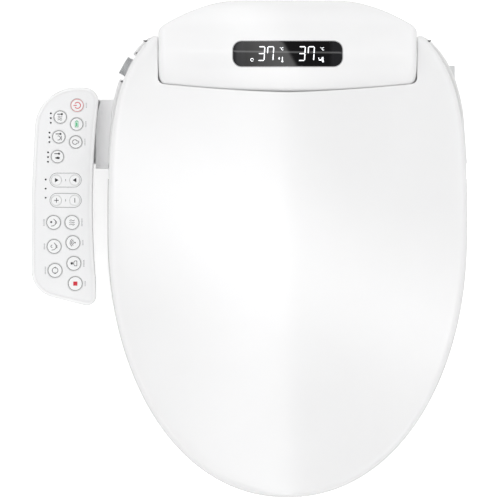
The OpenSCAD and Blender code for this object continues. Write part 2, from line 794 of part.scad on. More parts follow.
// Points of a polygon whose corners are rounded: each corner is [x, y, radius].
function unit(v) = v / norm(v);
function rounded(c, n = 10) = [for (i = [0 : len(c) - 1])
    let(p = [c[i][0], c[i][1]], q = c[(i + len(c) - 1) % len(c)], s = c[(i + 1) % len(c)], r = c[i][2],
        u = unit([q[0], q[1]] - p), v = unit([s[0], s[1]] - p), half = acos(u * v) / 2,
        d = r / tan(half), mid = p + unit(u + v) * r / sin(half), a = p + u * d - mid, b = p + v * d - mid)
    each [for (k = [0 : n]) let(f = k / n) mid + r * unit(a * (1 - f) + b * f)]];

// The panel seen from above. Its inner edge is hollow, and its outer edge bulges.
function panel_edge_x(y) = -207.2 + 0.00053 * pow(y + 160, 2);
module panel_plan(inset) {
    offset(delta = -inset) polygon(concat(
        rounded([[-203.2, -269.8, 10], [-272.3, -252.3, 30], [-272.2, -150, 300], [-266.6, -34.8, 44],
            [panel_edge_x(-34.8) - 0.5, -34.8, 15]]),
        [for (y = [-60 : -20 : -240]) [panel_edge_x(y), y]]));
}

module panel_wall(z0, z1, t) {
    translate([0, 0, z0]) linear_extrude(z1 - z0) difference() {
        panel_plan(0);
        panel_plan(t);
    }
}

panel_split = panel_z - panel_h + 9;
module panel_lower_case() {
    low = panel_z - panel_h;
    color("white") {
        panel_wall(low + 1, panel_split, 2);
        translate([0, 0, low]) linear_extrude(2) panel_plan(1);
        for (y = [-48, -150, -238]) translate([-236, y, low + 1]) cylinder(r = 3, h = board_top_z - low - 2.7);
    }
}

module panel_upper_case() {
    color("white") difference() {
        union() {
            panel_wall(panel_split + 0.1, panel_z, 2);
            translate([0, 0, plate_z]) linear_extrude(plate_t) panel_plan(1);
        }
        for (i = key_list) translate([keys[i].x, keys[i].y, plate_z - 1]) cylinder(r = keys[i][2] + key_gap, h = 9);
        for (q = lamp_columns, i = [-1 : 1]) translate([q[0], q[1] + i * q[2], plate_z - 1]) cylinder(r = 1.05, h = 9);
    }
}

module panel_overlay() {
    color("whitesmoke") translate([0, 0, panel_z - film_t]) linear_extrude(film_t) difference() {
        panel_plan(4);
        for (i = key_list) translate([keys[i].x, keys[i].y]) circle(keys[i][2] + key_gap);
        for (q = lamp_columns, i = [-1 : 1]) translate([q[0], q[1] + i * q[2]]) circle(1.05);
    }
}

module panel_board() {
    color("darkgreen") translate([0, 0, board_top_z - 1.6]) linear_extrude(1.6) panel_plan(6);
}

module indicator_lights() {
    color("lightgray") for (q = lamp_columns, i = [-1 : 1])
        translate([q[0], q[1] + i * q[2], board_top_z]) {
            cylinder(r = 1, h = panel_z - board_top_z);
            cylinder(r = 1.8, h = 2);
        }
}

dome_h = 1.5;
module switch_domes() {
    color("silver") for (i = key_list) translate([keys[i].x, keys[i].y, board_top_z]) {
        cylinder(r = 3, h = 0.8);
        cylinder(r = 2, h = dome_h);
    }
}

// A key: a cap through the overlay, a flange under the plate and a stem over its switch.
key_travel = 0.6;
module key(i) {
    k = keys[i];
    color("white") translate([k.x, k.y, 0]) {
        translate([0, 0, plate_z - 1]) cylinder(r = k[2], h = panel_z + 0.2 - plate_z + 1);
        translate([0, 0, plate_z - 1.1]) cylinder(r = k[2] + 0.9, h = 1);
        translate([0, 0, board_top_z + dome_h + key_travel + 0.15]) cylinder(r = 2, h = 2);
    }
}
module key_power() key(0);
module key_eco() key(1);
module key_light() key(2);
module key_dry_temp() key(3);
module key_seat_temp() key(4);
module key_water_temp() key(5);
module key_position_up() key(6);
module key_position_down() key(7);
module key_flow_up() key(8);
module key_flow_down() key(9);
module key_rear() key(10);
module key_dry() key(11);
module key_pulse() key(12);
module key_front() key(13);
module key_child() key(14);
module key_auto() key(15);
module key_stop() key(16);

module side_arm() {
    color("lightgray") difference() {
        union() {
            block([-204, -121, 22], [-176, -47.7, 44]);
            block([-232, -116, 28], [-204, -52, panel_z - panel_h - 0.1]);
        }
        block([-202, -119, 24], [-170, -49.7, 42]);
        block([-229.5, -113.5, 30], [-201, -54.5, panel_z - panel_h - 2.5]);
        translate([0, 0, panel_z - panel_h - 0.1]) linear_extrude(60) panel_plan(-0.1);
        translate([0, 0, 0]) linear_extrude(60) offset(delta = 0.1) base_plan();
        block([-190.5, -125, 40], [-188.5, -112, 46]);
    }
}

mounting_plate();
slot_inserts();
plate_pads();
lower_casing();
upper_casing();
case_screws();
display_lens();
display_board();
main_board();
cord_gland();
night_light();
hinge_dampers();
water_inlet();
inlet_filter();
solenoid_valve();
water_heater();
blower_housing();
blower_wheel();
dryer_flap();
release_button();
nozzle_cradle();
nozzle_motors();
rear_wand();
rear_tip();
rear_pinion();
front_wand();
front_tip();
front_pinion();
lid();
lid_bumpers();
lid_hinge_shaft();
seat_upper();
seat_lower();
seat_heater();
seat_bumpers();
seat_hinge_shaft();
side_arm();
panel_lower_case();
panel_upper_case();
panel_overlay();
panel_board();
switch_domes();
indicator_lights();
key_power();
key_eco();
key_light();
key_dry_temp();
key_seat_temp();
key_water_temp();
key_position_up();
key_position_down();
key_flow_up();
key_flow_down();
key_rear();
key_dry();
key_pulse();
key_front();
key_child();
key_auto();
key_stop();
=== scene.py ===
"""Electric bidet seat: its visible surfaces, finishes, stage and light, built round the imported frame."""

import logging
import math
from dataclasses import dataclass, field
from enum import Enum
from typing import Callable, Sequence

import bmesh
import bpy
import numpy as np
from mathutils.geometry import delaunay_2d_cdt
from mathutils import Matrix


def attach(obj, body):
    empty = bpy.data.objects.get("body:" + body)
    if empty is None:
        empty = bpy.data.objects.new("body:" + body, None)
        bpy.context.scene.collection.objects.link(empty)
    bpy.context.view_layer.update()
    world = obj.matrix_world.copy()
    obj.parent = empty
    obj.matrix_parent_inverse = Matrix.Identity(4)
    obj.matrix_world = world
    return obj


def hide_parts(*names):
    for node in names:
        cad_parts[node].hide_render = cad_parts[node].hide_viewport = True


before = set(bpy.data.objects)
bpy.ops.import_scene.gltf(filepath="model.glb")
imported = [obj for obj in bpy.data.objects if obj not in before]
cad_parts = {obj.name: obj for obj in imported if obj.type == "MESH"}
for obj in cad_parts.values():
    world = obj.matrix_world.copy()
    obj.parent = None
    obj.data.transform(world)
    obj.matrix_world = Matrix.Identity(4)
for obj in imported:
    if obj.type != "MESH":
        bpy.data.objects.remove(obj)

Array = np.ndarray
Socket = bpy.types.NodeSocket
MM = 0.001
NODES: dict[str, bpy.types.Object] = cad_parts
log = logging.getLogger("bidet_seat")


# ------------------------------------------------------------------ plane curves


def spow(value: Array, power: float) -> Array:
    """Raises the size of each number to a power and keeps its sign."""
    return np.sign(value) * np.abs(value) ** power


def smooth(value: Array) -> Array:
    """Eases from 0 to 1: three times the square less twice the cube, held flat outside."""
    held = np.clip(value, 0.0, 1.0)
    return held * held * (3.0 - 2.0 * held)


def resample(path: Array, count: int, closed: bool = True) -> Array:
    """Spaces points evenly along a path, by its running length.

    Args:
        path: points in order, one a row.
        count: how many points come back.
        closed: whether the last point joins the first.

    Returns:
        The evenly spaced points.
    """
    points = np.vstack([path, path[:1]]) if closed else path
    run = np.concatenate([[0.0], np.cumsum(np.linalg.norm(np.diff(points, axis=0), axis=1))])
    want = np.linspace(0.0, run[-1], count + 1 if closed else count)
    want = want[:-1] if closed else want
    return np.stack([np.interp(want, run, points[:, k]) for k in range(points.shape[1])], axis=1)


def inward(loop: Array) -> Array:
    """Unit normals of a closed loop, to its inside: the chord between the neighbours, turned a quarter."""
    after, before = np.roll(loop, -1, axis=0), np.roll(loop, 1, axis=0)
    chord = after - before
    chord /= np.maximum(np.linalg.norm(chord, axis=1, keepdims=True), 1e-9)
    area = np.sum(loop[:, 0] * after[:, 1] - after[:, 0] * loop[:, 1])
    return np.stack([-chord[:, 1], chord[:, 0]], axis=1) * np.sign(area)


def rounded_corners(corners: Array, steps: int = 10) -> Array:
    """A closed polygon whose corners are arcs: each point of an arc is its centre plus the radius along
    the blend of the two directions in which the arc touches the sides.

    Args:
        corners: one row [x, y, radius] for each corner.
        steps: how many chords each arc has.

    Returns:
        The points of the outline.
    """
    point, radius = corners[:, :2], np.maximum(corners[:, 2:3], 0.01)
    back = np.roll(point, 1, axis=0) - point
    ahead = np.roll(point, -1, axis=0) - point
    back /= np.linalg.norm(back, axis=1, keepdims=True)
    ahead /= np.linalg.norm(ahead, axis=1, keepdims=True)
    half = np.arccos(np.clip(np.sum(back * ahead, axis=1, keepdims=True), -0.999999, 0.999999)) / 2
    middle = back + ahead
    middle /= np.maximum(np.linalg.norm(middle, axis=1, keepdims=True), 1e-9)
    centre = point + middle * radius / np.sin(half)
    first = point + back * radius / np.tan(half) - centre
    last = point + ahead * radius / np.tan(half) - centre
    share = np.linspace(0.0, 1.0, steps + 1)[None, :, None]
    spoke = first[:, None] * (1 - share) + last[:, None] * share
    spoke /= np.maximum(np.linalg.norm(spoke, axis=2, keepdims=True), 1e-9)
    return (centre[:, None] + spoke * radius[:, None]).reshape(-1, 2)


def circle(x: float, y: float, radius: float, count: int = 48) -> Array:
    """Points of a circle, counter-clockwise."""
    turn = np.linspace(0.0, math.tau, count, endpoint=False)
    return np.stack([x + radius * np.cos(turn), y + radius * np.sin(turn)], axis=1)


def inside(points: Array, loops: Sequence[Array]) -> Array:
    """Whether each point lies inside the first loop and outside the others, by counting the sides crossed
    on the way to +X."""
    crossed = np.zeros(len(points), int)
    for loop in loops:
        start, end = loop[None], np.roll(loop, -1, axis=0)[None]
        y = points[:, 1:2]
        spans = (start[..., 1] > y) != (end[..., 1] > y)
        run = np.where(end[..., 1] == start[..., 1], 1e-9, end[..., 1] - start[..., 1])
        at = start[..., 0] + (y - start[..., 1]) / run * (end[..., 0] - start[..., 0])
        crossed += np.sum(spans & (at > points[:, 0:1]), axis=1)
    return crossed % 2 == 1


def lift(loop: Array, height: float | Array) -> Array:
    """A plan loop given a height, one for all its points or one for each."""
    return np.column_stack([loop, np.broadcast_to(height, len(loop))])


# ------------------------------------------------------------------ meshes


class Shape:
    """The points, in millimetres, and faces of one piece, gathered block by block."""

    def __init__(self) -> None:
        """Starts with nothing in it."""
        self.points: list[Array] = []
        self.faces: list[list[list[int]]] = []
        self.slots: list[int] = []
        self.count = 0

    def add(self, points: Array, faces: Array, slot: int = 0) -> None:
        """Adds a block.

        Args:
            points: its points.
            faces: rows of point numbers within the block.
            slot: the number of its finish.
        """
        self.points.append(points)
        self.faces.append((faces + self.count).tolist())
        self.slots += [slot] * len(faces)
        self.count += len(points)

    def loft(self, rings: Array, closed: bool = True, slot: int = 0) -> None:
        """Adds the quads between each ring and the next; rings is an array of rings, points and x, y, z."""
        rows, columns = rings.shape[:2]
        here = np.arange(rows * columns).reshape(rows, columns)
        beside = np.roll(here, -1, axis=1)
        if not closed:
            here, beside = here[:, :-1], beside[:, :-1]
        quads = np.stack([here[:-1], beside[:-1], beside[1:], here[1:]], axis=-1)
        self.add(rings.reshape(-1, 3), quads.reshape(-1, 4), slot)

    def cap(self, ring: Array, slot: int = 0) -> None:
        """Adds one flat face inside a ring."""
        self.add(ring, np.arange(len(ring))[None], slot)

    def fill(
        self,
        rings: Sequence[Array],
        pitch: float,
        height: Callable[[Array, Array], Array],
        slot: int = 0,
    ) -> None:
        """Adds triangles between an outer ring and holes, over an even grid of points at the pitch.

        Args:
            rings: the outer ring and then the holes, each with x, y, z.
            pitch: the spacing of the grid.
            height: gives z from x and y inside.
            slot: the number of its finish.
        """
        rim = np.vstack(rings)
        low, high = rim[:, :2].min(0), rim[:, :2].max(0)
        x, y = (np.arange(low[k] + pitch / 2, high[k], pitch) for k in (0, 1))
        grid = np.stack(np.meshgrid(x, y), axis=-1).reshape(-1, 2)
        grid = grid[inside(grid, [r[:, :2] for r in rings])]
        if len(grid):
            gap = np.min(np.linalg.norm(grid[:, None] - rim[None, :, :2], axis=2), axis=1)
            grid = grid[gap > 0.55 * pitch]
        edges, at = [], 0
        for ring in rings:
            number = np.arange(len(ring))
            edges.append(np.column_stack([number, np.roll(number, -1)]) + at)
            at += len(ring)
        flat = np.vstack([rim[:, :2], grid])
        found = delaunay_2d_cdt(flat.tolist(), np.vstack(edges).tolist(), [], 2, 1e-7)
        source = np.array([o[0] if o else -1 for o in found[3]])
        points = np.vstack([rim, np.column_stack([grid, height(grid[:, 0], grid[:, 1])])])
        made = np.array([tuple(v) for v in found[0]])
        crossed = np.column_stack([made, height(made[:, 0], made[:, 1])])
        faces = np.array(found[2])
        faces = faces[inside(made[faces].mean(axis=1), [r[:, :2] for r in rings])]
        self.add(np.where(source[:, None] < 0, crossed, points[source]), faces, slot)

    def lathe(self, profile: Array, x: float, y: float, count: int = 48, slot: int = 0) -> None:
        """Adds a profile of radius and height turned about the upright line at x, y; it starts and ends on
        the line to be closed."""
        turn = np.linspace(0.0, math.tau, count, endpoint=False)[None, :]
        radius, height = profile[:, 0:1], profile[:, 1:2]
        rings = np.stack(
            [x + radius * np.cos(turn), y + radius * np.sin(turn), height + 0 * turn], axis=-1
        )
        self.loft(rings, slot=slot)

    def prism(self, loop: Array, low: float, high: float, soft: float, steps: int = 4) -> None:
        """Adds an upright prism whose upper and lower edges are quarter rounds: the loop is drawn in by the
        radius times one less the cosine, at the radius times one less the sine from the end."""
        turn = np.linspace(0.0, math.pi / 2, steps + 1)
        draw = soft * (1 - np.cos(turn))
        rise = soft * (1 - np.sin(turn))
        normal = inward(loop)
        insets = np.concatenate([draw[::-1], draw])
        heights = np.concatenate([low + rise[::-1], high - rise])
        rings = np.stack([lift(loop + normal * i, z) for i, z in zip(insets, heights)])
        self.loft(rings)
        self.cap(rings[0])
        self.cap(rings[-1])

    def moved(self, move: Callable[[Array], Array]) -> "Shape":
        """The same shape with its points passed through a function."""
        self.points = [move(p) for p in self.points]
        return self

    def build(
        self,
        name: str,
        body: str,
        finishes: Sequence["Finish"],
        nodes: Sequence[str] = (),
        crease: float = 35.0,
        slot: str = "",
    ) -> bpy.types.Object:
        """Makes the piece: one object at the origin, its points merged and its faces outwards.

        Args:
            name: the piece's name.
            body: the CAD body that it rides on.
            finishes: its finishes, in the order of the slot numbers.
            nodes: the CAD nodes that it stands for.
            crease: the angle in degrees past which an edge is sharp.
            slot: not used.

        Returns:
            The new object.
        """
        mesh = bpy.data.meshes.new(name)
        faces = [face for block in self.faces for face in block]
        mesh.from_pydata((np.vstack(self.points) * MM).tolist(), [], faces)
        mesh.polygons.foreach_set("material_index", self.slots)
        work = bmesh.new()
        work.from_mesh(mesh)
        bmesh.ops.remove_doubles(work, verts=work.verts, dist=0.004 * MM)
        bmesh.ops.dissolve_degenerate(work, edges=work.edges, dist=0.001 * MM)
        bmesh.ops.recalc_face_normals(work, faces=work.faces)
        work.to_mesh(mesh)
        work.free()
        return dress(mesh, name, body, finishes, nodes, crease)


def dress(
    mesh: bpy.types.Mesh,
    name: str,
    body: str,
    finishes: Sequence["Finish"],
    nodes: Sequence[str] = (),
    crease: float = 35.0,
) -> bpy.types.Object:
    """Puts a mesh in the scene with its finishes, on its body, for the CAD nodes that it stands for."""
    mesh.shade_smooth()
    mesh.set_sharp_from_angle(angle=math.radians(crease))
    for finish in finishes:
        mesh.materials.append(finish.material())
    piece = bpy.data.objects.new(name, mesh)
    bpy.context.scene.collection.objects.link(piece)
    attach(piece, body)
    if nodes:
        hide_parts(*nodes)
    return piece


def softened(
    node: str, body: str, finish: "Finish", soft: float, crease: float = 35.0, segments: int = 2
) -> bpy.types.Object:
    """A copy of a CAD node with its points merged, its flat faces joined and its edges rounded.

    Args:
        node: the CAD node that it stands for.
        body: the body that it rides on.
        finish: its finish.
        soft: the radius of its edges in millimetres, or 0 for none.
        crease: the angle in degrees past which an edge is an edge.
        segments: how many chords the rounding has.

    Returns:
        The new object.
    """
    mesh = NODES[node].data.copy()
    mesh.materials.clear()
    work = bmesh.new()
    work.from_mesh(mesh)
    bmesh.ops.remove_doubles(work, verts=work.verts, dist=0.002 * MM)
    bmesh.ops.dissolve_limit(
        work, angle_limit=math.radians(0.4), verts=work.verts, edges=work.edges
    )
    work.to_mesh(mesh)
    work.free()
    piece = dress(mesh, f"{node}_moulded", body, [finish], [node], crease)
    if soft:
        bevel = piece.modifiers.new("soft_edges", "BEVEL")
        bevel.width, bevel.segments = soft * MM, segments
        bevel.limit_method, bevel.angle_limit = "ANGLE", math.radians(crease)
        bevel.miter_outer = "MITER_ARC"
        bevel.harden_normals = True
    return piece


# ------------------------------------------------------------------ finishes


class Graph:
    """A material's nodes, with a principled shader joined to the output."""

    def __init__(self, name: str) -> None:
        """Makes the material under a name."""
        self.made = bpy.data.materials.new(name)
        self.made.use_nodes = True
        self.tree = self.made.node_tree
        self.shader = self.tree.nodes["Principled BSDF"]
        self.place = self.tree.nodes.new("ShaderNodeTexCoord").outputs["Object"]

    def node(self, kind: str, inputs: dict | None = None, **settings: object) -> bpy.types.Node:
        """Adds a node.

        Args:
            kind: its type without the word ShaderNode.
            inputs: a value or an output for each input, by name or number.
            settings: its other settings.

        Returns:
            The node.
        """
        made = self.tree.nodes.new("ShaderNode" + kind)
        for key, value in settings.items():
            setattr(made, key, value)
        for key, value in (inputs or {}).items():
            if isinstance(value, Socket):
                self.tree.links.new(value, made.inputs[key])
            else:
                made.inputs[key].default_value = value
        return made

    def noise(self, scale: float, detail: float = 3.0, stretch: Sequence[float] = (1, 1, 1)) -> Socket:
        """Noise on the object's own coordinates, at so many waves a metre along each axis."""
        spread = self.node("Mapping", {"Vector": self.place, "Scale": tuple(stretch)})
        found = self.node("TexNoise", {"Vector": spread.outputs[0], "Scale": scale, "Detail": detail})
        return found.outputs["Fac"]

    def between(self, fac: Socket, low: Sequence[float], high: Sequence[float]) -> Socket:
        """The blend of two colours by a factor, spread over its middle third."""
        ramp = self.node("ValToRGB", {"Fac": fac})
        ramp.color_ramp.elements[0].position, ramp.color_ramp.elements[1].position = 0.33, 0.67
        ramp.color_ramp.elements[0].color = (*low, 1.0)
        ramp.color_ramp.elements[1].color = (*high, 1.0)
        return ramp.outputs["Color"]

    def spread(self, fac: Socket, low: float, high: float) -> Socket:
        """A factor's middle, from 0.3 to 0.7, spread from one number to another."""
        return self.node(
            "MapRange", {"Value": fac, "From Min": 0.3, "From Max": 0.7, "To Min": low, "To Max": high}
        ).outputs["Result"]

    def bump(self, height: Socket, strength: float, depth: float) -> None:
        """Raises the surface by a height of so many metres."""
        made = self.node("Bump", {"Height": height, "Strength": strength, "Distance": depth})
        self.tree.links.new(made.outputs["Normal"], self.shader.inputs["Normal"])

    def join(self, name: str, value: Socket) -> None:
        """Joins an output to one of the shader's sockets."""
        self.tree.links.new(value, self.shader.inputs[name])

    def put(self, **values: object) -> None:
        """Sets constants on the shader's own sockets; an underscore stands for a space."""
        for key, value in values.items():
            self.shader.inputs[key.replace("_", " ")].default_value = value


@dataclass(frozen=True)
class Finish:
    """A finish with a name and a colour; the material is made once."""

    name: str
    colour: tuple[float, float, float]

    def material(self) -> bpy.types.Material:
        """The material of this finish."""
        name = f"{self.name}_finish"
        found = bpy.data.materials.get(name)
        if found is None:
            graph = Graph(name)
            self.paint(graph)
            found = graph.made
        return found

    def shade(self, share: float) -> tuple[float, ...]:
        """The colour, lightened or darkened by a share."""
        return tuple(min(1.0, c * share) for c in self.colour)

    def paint(self, graph: Graph) -> None:
        """Sets up the nodes."""
        raise NotImplementedError


@dataclass(frozen=True)
class Plastic(Finish):
    """Moulded plastic: faint clouding of the colour, roughness that wanders and a fine skin."""

    rough: float = 0.12
    skin: float = 420.0
    relief: float = 0.02
    cloud: float = 0.012
    level: float = 0.5

    def paint(self, graph: Graph) -> None:
        """Clouds the colour by slow noise, and raises the skin by fast noise."""
        slow = graph.noise(14.0, 2.0)
        graph.join("Base Color", graph.between(slow, self.shade(1 - self.cloud), self.shade(1 + self.cloud)))
        graph.join("Roughness", graph.spread(graph.noise(60.0), self.rough * 0.85, self.rough * 1.2))
        graph.bump(graph.noise(self.skin, 4.0), self.relief, 0.0004)
        graph.put(Specular_IOR_Level=self.level)


@dataclass(frozen=True)
class Rubber(Finish):
    """Soft rubber: matt, speckled, with a fine grain."""

    rough: float = 0.62

    def paint(self, graph: Graph) -> None:
        """Speckles the colour by fast noise and raises a grain."""
        grain = graph.noise(900.0, 5.0)
        graph.join("Base Color", graph.between(grain, self.shade(0.9), self.shade(1.08)))
        graph.join("Roughness", graph.spread(graph.noise(90.0), self.rough * 0.9, self.rough * 1.1))
        graph.bump(grain, 0.35, 0.0002)
        graph.put(Specular_IOR_Level=0.35)


@dataclass(frozen=True)
class Metal(Finish):
    """Metal with brush lines along one axis."""

    rough: float = 0.28
    stretch: tuple[float, float, float] = (1.0, 30.0, 30.0)

    def paint(self, graph: Graph) -> None:
        """Draws noise out along the brushing, into the roughness, the colour and the surface."""
        lines = graph.noise(60.0, 6.0, self.stretch)
        graph.join("Base Color", graph.between(lines, self.shade(0.88), self.shade(1.05)))
        graph.join("Roughness", graph.spread(lines, self.rough * 0.75, self.rough * 1.3))
        graph.bump(lines, 0.12, 0.0002)
        graph.put(Metallic=1.0)


@dataclass(frozen=True)
class Lens(Finish):
    """Smoked lens: polished and black, a little lighter past the ends of the read-out."""

    ends: tuple[float, float, float] = (0.014, 0.014, 0.016)
    window: float = 0.0455
    fade: float = 0.0022

    def paint(self, graph: Graph) -> None:
        """Takes the distance from the middle along X, and turns to the end colour past the window."""
        split = graph.node("SeparateXYZ", {"Vector": graph.place})
        away = graph.node("Math", {0: split.outputs["X"]}, operation="ABSOLUTE").outputs[0]
        fac = graph.node(
            "MapRange",
            {"Value": away, "From Min": self.window - self.fade, "From Max": self.window + self.fade,
             "To Min": 0.33, "To Max": 0.67},
        ).outputs["Result"]
        graph.join("Base Color", graph.between(fac, self.colour, self.ends))
        graph.join("Roughness", graph.spread(graph.noise(35.0), 0.018, 0.035))
        graph.put(IOR=1.5)


@dataclass(frozen=True)
class Glow(Finish):
    """Lit segments, their brightness a little uneven."""

    power: float = 1.0

    def paint(self, graph: Graph) -> None:
        """Gives off the colour, shaded by slow noise."""
        uneven = graph.noise(160.0)
        lit = graph.between(uneven, self.shade(0.94), self.shade(1.0))
        graph.join("Base Color", lit)
        graph.join("Emission Color", lit)
        graph.put(Emission_Strength=self.power, Roughness=0.4)


@dataclass(frozen=True)
class Ink(Finish):
    """Printed ink: matt, with a faintly uneven layer."""

    rough: float = 0.45

    def paint(self, graph: Graph) -> None:
        """Shades the colour by fast noise and lifts it by the same."""
        layer = graph.noise(1400.0, 4.0)
        graph.join("Base Color", graph.between(layer, self.shade(0.9), self.shade(1.1)))
        graph.join("Roughness", graph.spread(layer, self.rough * 0.9, self.rough * 1.1))
        graph.bump(layer, 0.1, 0.00005)


@dataclass(frozen=True)
class Clear(Finish):
    """Clear moulding, faintly milky."""

    def paint(self, graph: Graph) -> None:
        """Lets most light through, with slow clouding of the colour and the roughness."""
        haze = graph.noise(120.0)
        graph.join("Base Color", graph.between(haze, self.shade(0.97), self.shade(1.0)))
        graph.join("Roughness", graph.spread(haze, 0.08, 0.2))
        graph.put(IOR=1.49, Transmission_Weight=0.55)


@dataclass(frozen=True)
class CircuitLacquer(Finish):
    """Lacquered board with copper runs showing through."""

    def paint(self, graph: Graph) -> None:
        """Lays a brick pattern's joints as runs, over slow clouding."""
        runs = graph.node(
            "TexBrick",
            {"Vector": graph.place, "Scale": 90.0, "Mortar Size": 0.05, "Mortar Smooth": 0.2,
             "Color1": (*self.colour, 1.0), "Color2": (*self.shade(0.8), 1.0),
             "Mortar": (0.16, 0.34, 0.13, 1.0)},
        )
        graph.join("Base Color", runs.outputs["Color"])
        graph.join("Roughness", graph.spread(graph.noise(220.0), 0.22, 0.4))
        graph.bump(runs.outputs["Fac"], 0.3, 0.0001)


@dataclass(frozen=True)
class HeaterFoil(Finish):
    """Heating foil: a wire laid in waves under a film."""

    def paint(self, graph: Graph) -> None:
        """Lays rings of a wave pattern, bent by noise, as the wire."""
        wire = graph.node(
            "TexWave",
            {"Vector": graph.place, "Scale": 36.0, "Distortion": 1.6, "Detail": 1.0},
            wave_type="RINGS",
        ).outputs["Fac"]
        graph.join("Base Color", graph.between(wire, self.shade(0.75), self.shade(1.15)))
        graph.join("Roughness", graph.spread(graph.noise(150.0), 0.3, 0.45))
        graph.bump(wire, 0.4, 0.0002)


CASING_WHITE = Plastic("casing_white", (0.86, 0.86, 0.862), rough=0.16)
HOUSING_WHITE = Plastic("housing_white", (0.9, 0.9, 0.903), rough=0.14)
LID_WHITE = Plastic("lid_white", (0.86, 0.86, 0.863), rough=0.07, skin=260.0, relief=0.004, cloud=0.006)
SEAT_WHITE = Plastic("seat_white", (0.86, 0.86, 0.855), rough=0.18)
PANEL_WHITE = Plastic("panel_white", (0.88, 0.88, 0.883), rough=0.15)
FILM = Plastic("overlay_film", (0.85, 0.853, 0.858), rough=0.38, skin=1600.0, relief=0.12)
KEY_WHITE = Plastic("key_white", (0.87, 0.872, 0.876), rough=0.32, skin=1800.0, relief=0.1)
# The arm's white is lifted above the other whites as painted light, to make up for the shade it lies in
# between the panel and the lid.
ARM_WHITE_PAINTED_LIGHT = Plastic("arm_white_painted_light", (0.93, 0.93, 0.935), rough=0.3)
BUTTON_GREY = Plastic("button_grey", (0.74, 0.745, 0.75), rough=0.32, skin=900.0, relief=0.12)
INNER_GREY = Plastic("inner_grey", (0.55, 0.56, 0.57), rough=0.42, skin=700.0, relief=0.1, cloud=0.03)
INNER_DARK = Plastic("inner_dark", (0.035, 0.035, 0.038), rough=0.45, skin=700.0, relief=0.12, cloud=0.08)
ACETAL = Plastic("acetal", (0.74, 0.7, 0.6), rough=0.38, cloud=0.02)
FILTER_BLUE = Plastic("filter_mesh", (0.18, 0.32, 0.5), rough=0.4, skin=2200.0, relief=0.5)
DARK_LAMP = Plastic("dark_lamp", (0.012, 0.012, 0.014), rough=0.2, cloud=0.1)
RUBBER = Rubber("rubber_grey", (0.42, 0.42, 0.43))
PAD_RUBBER = Rubber("pad_rubber", (0.12, 0.12, 0.125), rough=0.7)
STEEL = Metal("steel", (0.62, 0.62, 0.63))
WAND_STEEL = Metal("wand_steel", (0.66, 0.66, 0.67), rough=0.2, stretch=(30.0, 1.0, 1.0))
LENS_BLACK = Lens("lens_black", (0.0035, 0.0035, 0.004))
# A mid-grey ring round the lens: its grey is a painted highlight standing for the lens's bright rim, on a
# glossy raised profile that also catches real reflection.
PAINTED_RIM_HIGHLIGHT = Plastic("lens_painted_rim_highlight", (0.5, 0.5, 0.51), rough=0.08)
LIT_WHITE = Glow("lit_white", (0.95, 0.98, 1.0), power=0.95)
INK_BLACK = Ink("ink_black", (0.012, 0.012, 0.014))
INK_GREY = Ink("ink_grey", (0.09, 0.09, 0.095))
INK_PALE = Ink("ink_pale", (0.3, 0.3, 0.31))
INK_RED = Ink("ink_red", (0.62, 0.012, 0.03))
INK_GREEN = Ink("ink_green", (0.02, 0.5, 0.2))
CLEAR = Clear("clear_lens", (0.92, 0.93, 0.92))
CIRCUIT = CircuitLacquer("circuit_board", (0.01, 0.12, 0.045))
FOIL = HeaterFoil("heater_foil", (0.5, 0.24, 0.06))

# The CAD nodes that keep their own mesh, and their finish.
INNER_PARTS: dict[Finish, tuple[str, ...]] = {
    CIRCUIT: ("display_board", "main_board", "panel_board"),
    STEEL: ("case_screws", "nozzle_motors", "lid_hinge_shaft", "seat_hinge_shaft", "switch_domes"),
    INNER_DARK: ("hinge_dampers", "blower_wheel"),
    INNER_GREY: ("solenoid_valve", "water_heater", "blower_housing", "nozzle_cradle"),
    FILTER_BLUE: ("inlet_filter",),
    ACETAL: ("rear_pinion", "front_pinion"),
    FOIL: ("seat_heater",),
}


# ------------------------------------------------------------------ plan of the lid and the seat


@dataclass(frozen=True)
class Outline:
    """A superellipse about the line y = middle, longer to the front, cut straight at the rear."""

    half_width: float
    front: float
    rear_cut: float
    rear: float = 240.0
    middle: float = -190.0
    front_power: float = 2.1
    rear_power: float = 3.4

    def points(self, turn: Array) -> Array:
        """Points at angles in radians: the half width by the cosine, and the length by the sine, each raised
        to two over the power."""
        s, c = np.sin(turn), np.cos(turn)
        power = np.where(s < 0, self.front_power, self.rear_power)
        reach = np.where(s < 0, self.front, self.rear)
        y = self.middle + reach * spow(s, 2.0 / power)
        return np.stack([self.half_width * spow(c, 2.0 / power), np.minimum(self.rear_cut, y)], axis=-1)

    def depth(self, x: Array, y: Array) -> Array:
        """How far a point is inside the edge: one less the superellipse's level, over the level's slope."""
        away = y - self.middle
        power = np.where(away < 0, self.front_power, self.rear_power)
        reach = np.where(away < 0, self.front, self.rear)
        u = np.maximum(np.abs(x) / self.half_width, 1e-6)
        v = np.maximum(np.abs(away) / reach, 1e-6)
        level = (u**power + v**power) ** (1.0 / power)
        slope = np.hypot(
            level ** (1 - power) * u ** (power - 1) / self.half_width,
            level ** (1 - power) * v ** (power - 1) / reach,
        )
        return (1.0 - level) / np.maximum(slope, 1e-6)

    def half_at(self, y: Array) -> Array:
        """Half the width at y."""
        away = np.abs(y - self.middle)
        power = np.where(y < self.middle, self.front_power, self.rear_power)
        reach = np.where(y < self.middle, self.front, self.rear)
        return self.half_width * np.maximum(1 - np.minimum(away / reach, 1) ** power, 0) ** (1 / power)


def seam(x: Array) -> Array:
    """Where the lid ends before the housing: a power of one and a half of the distance from the middle."""
    return -40.8 + 7.4 * (np.abs(x) / 120.0) ** 1.5


def shoulder(y: Array) -> Array:
    """The height of the seat's shoulder, rising evenly to the rear."""
    return 42.0 + 18.0 / 490.0 * (y + 471.5)


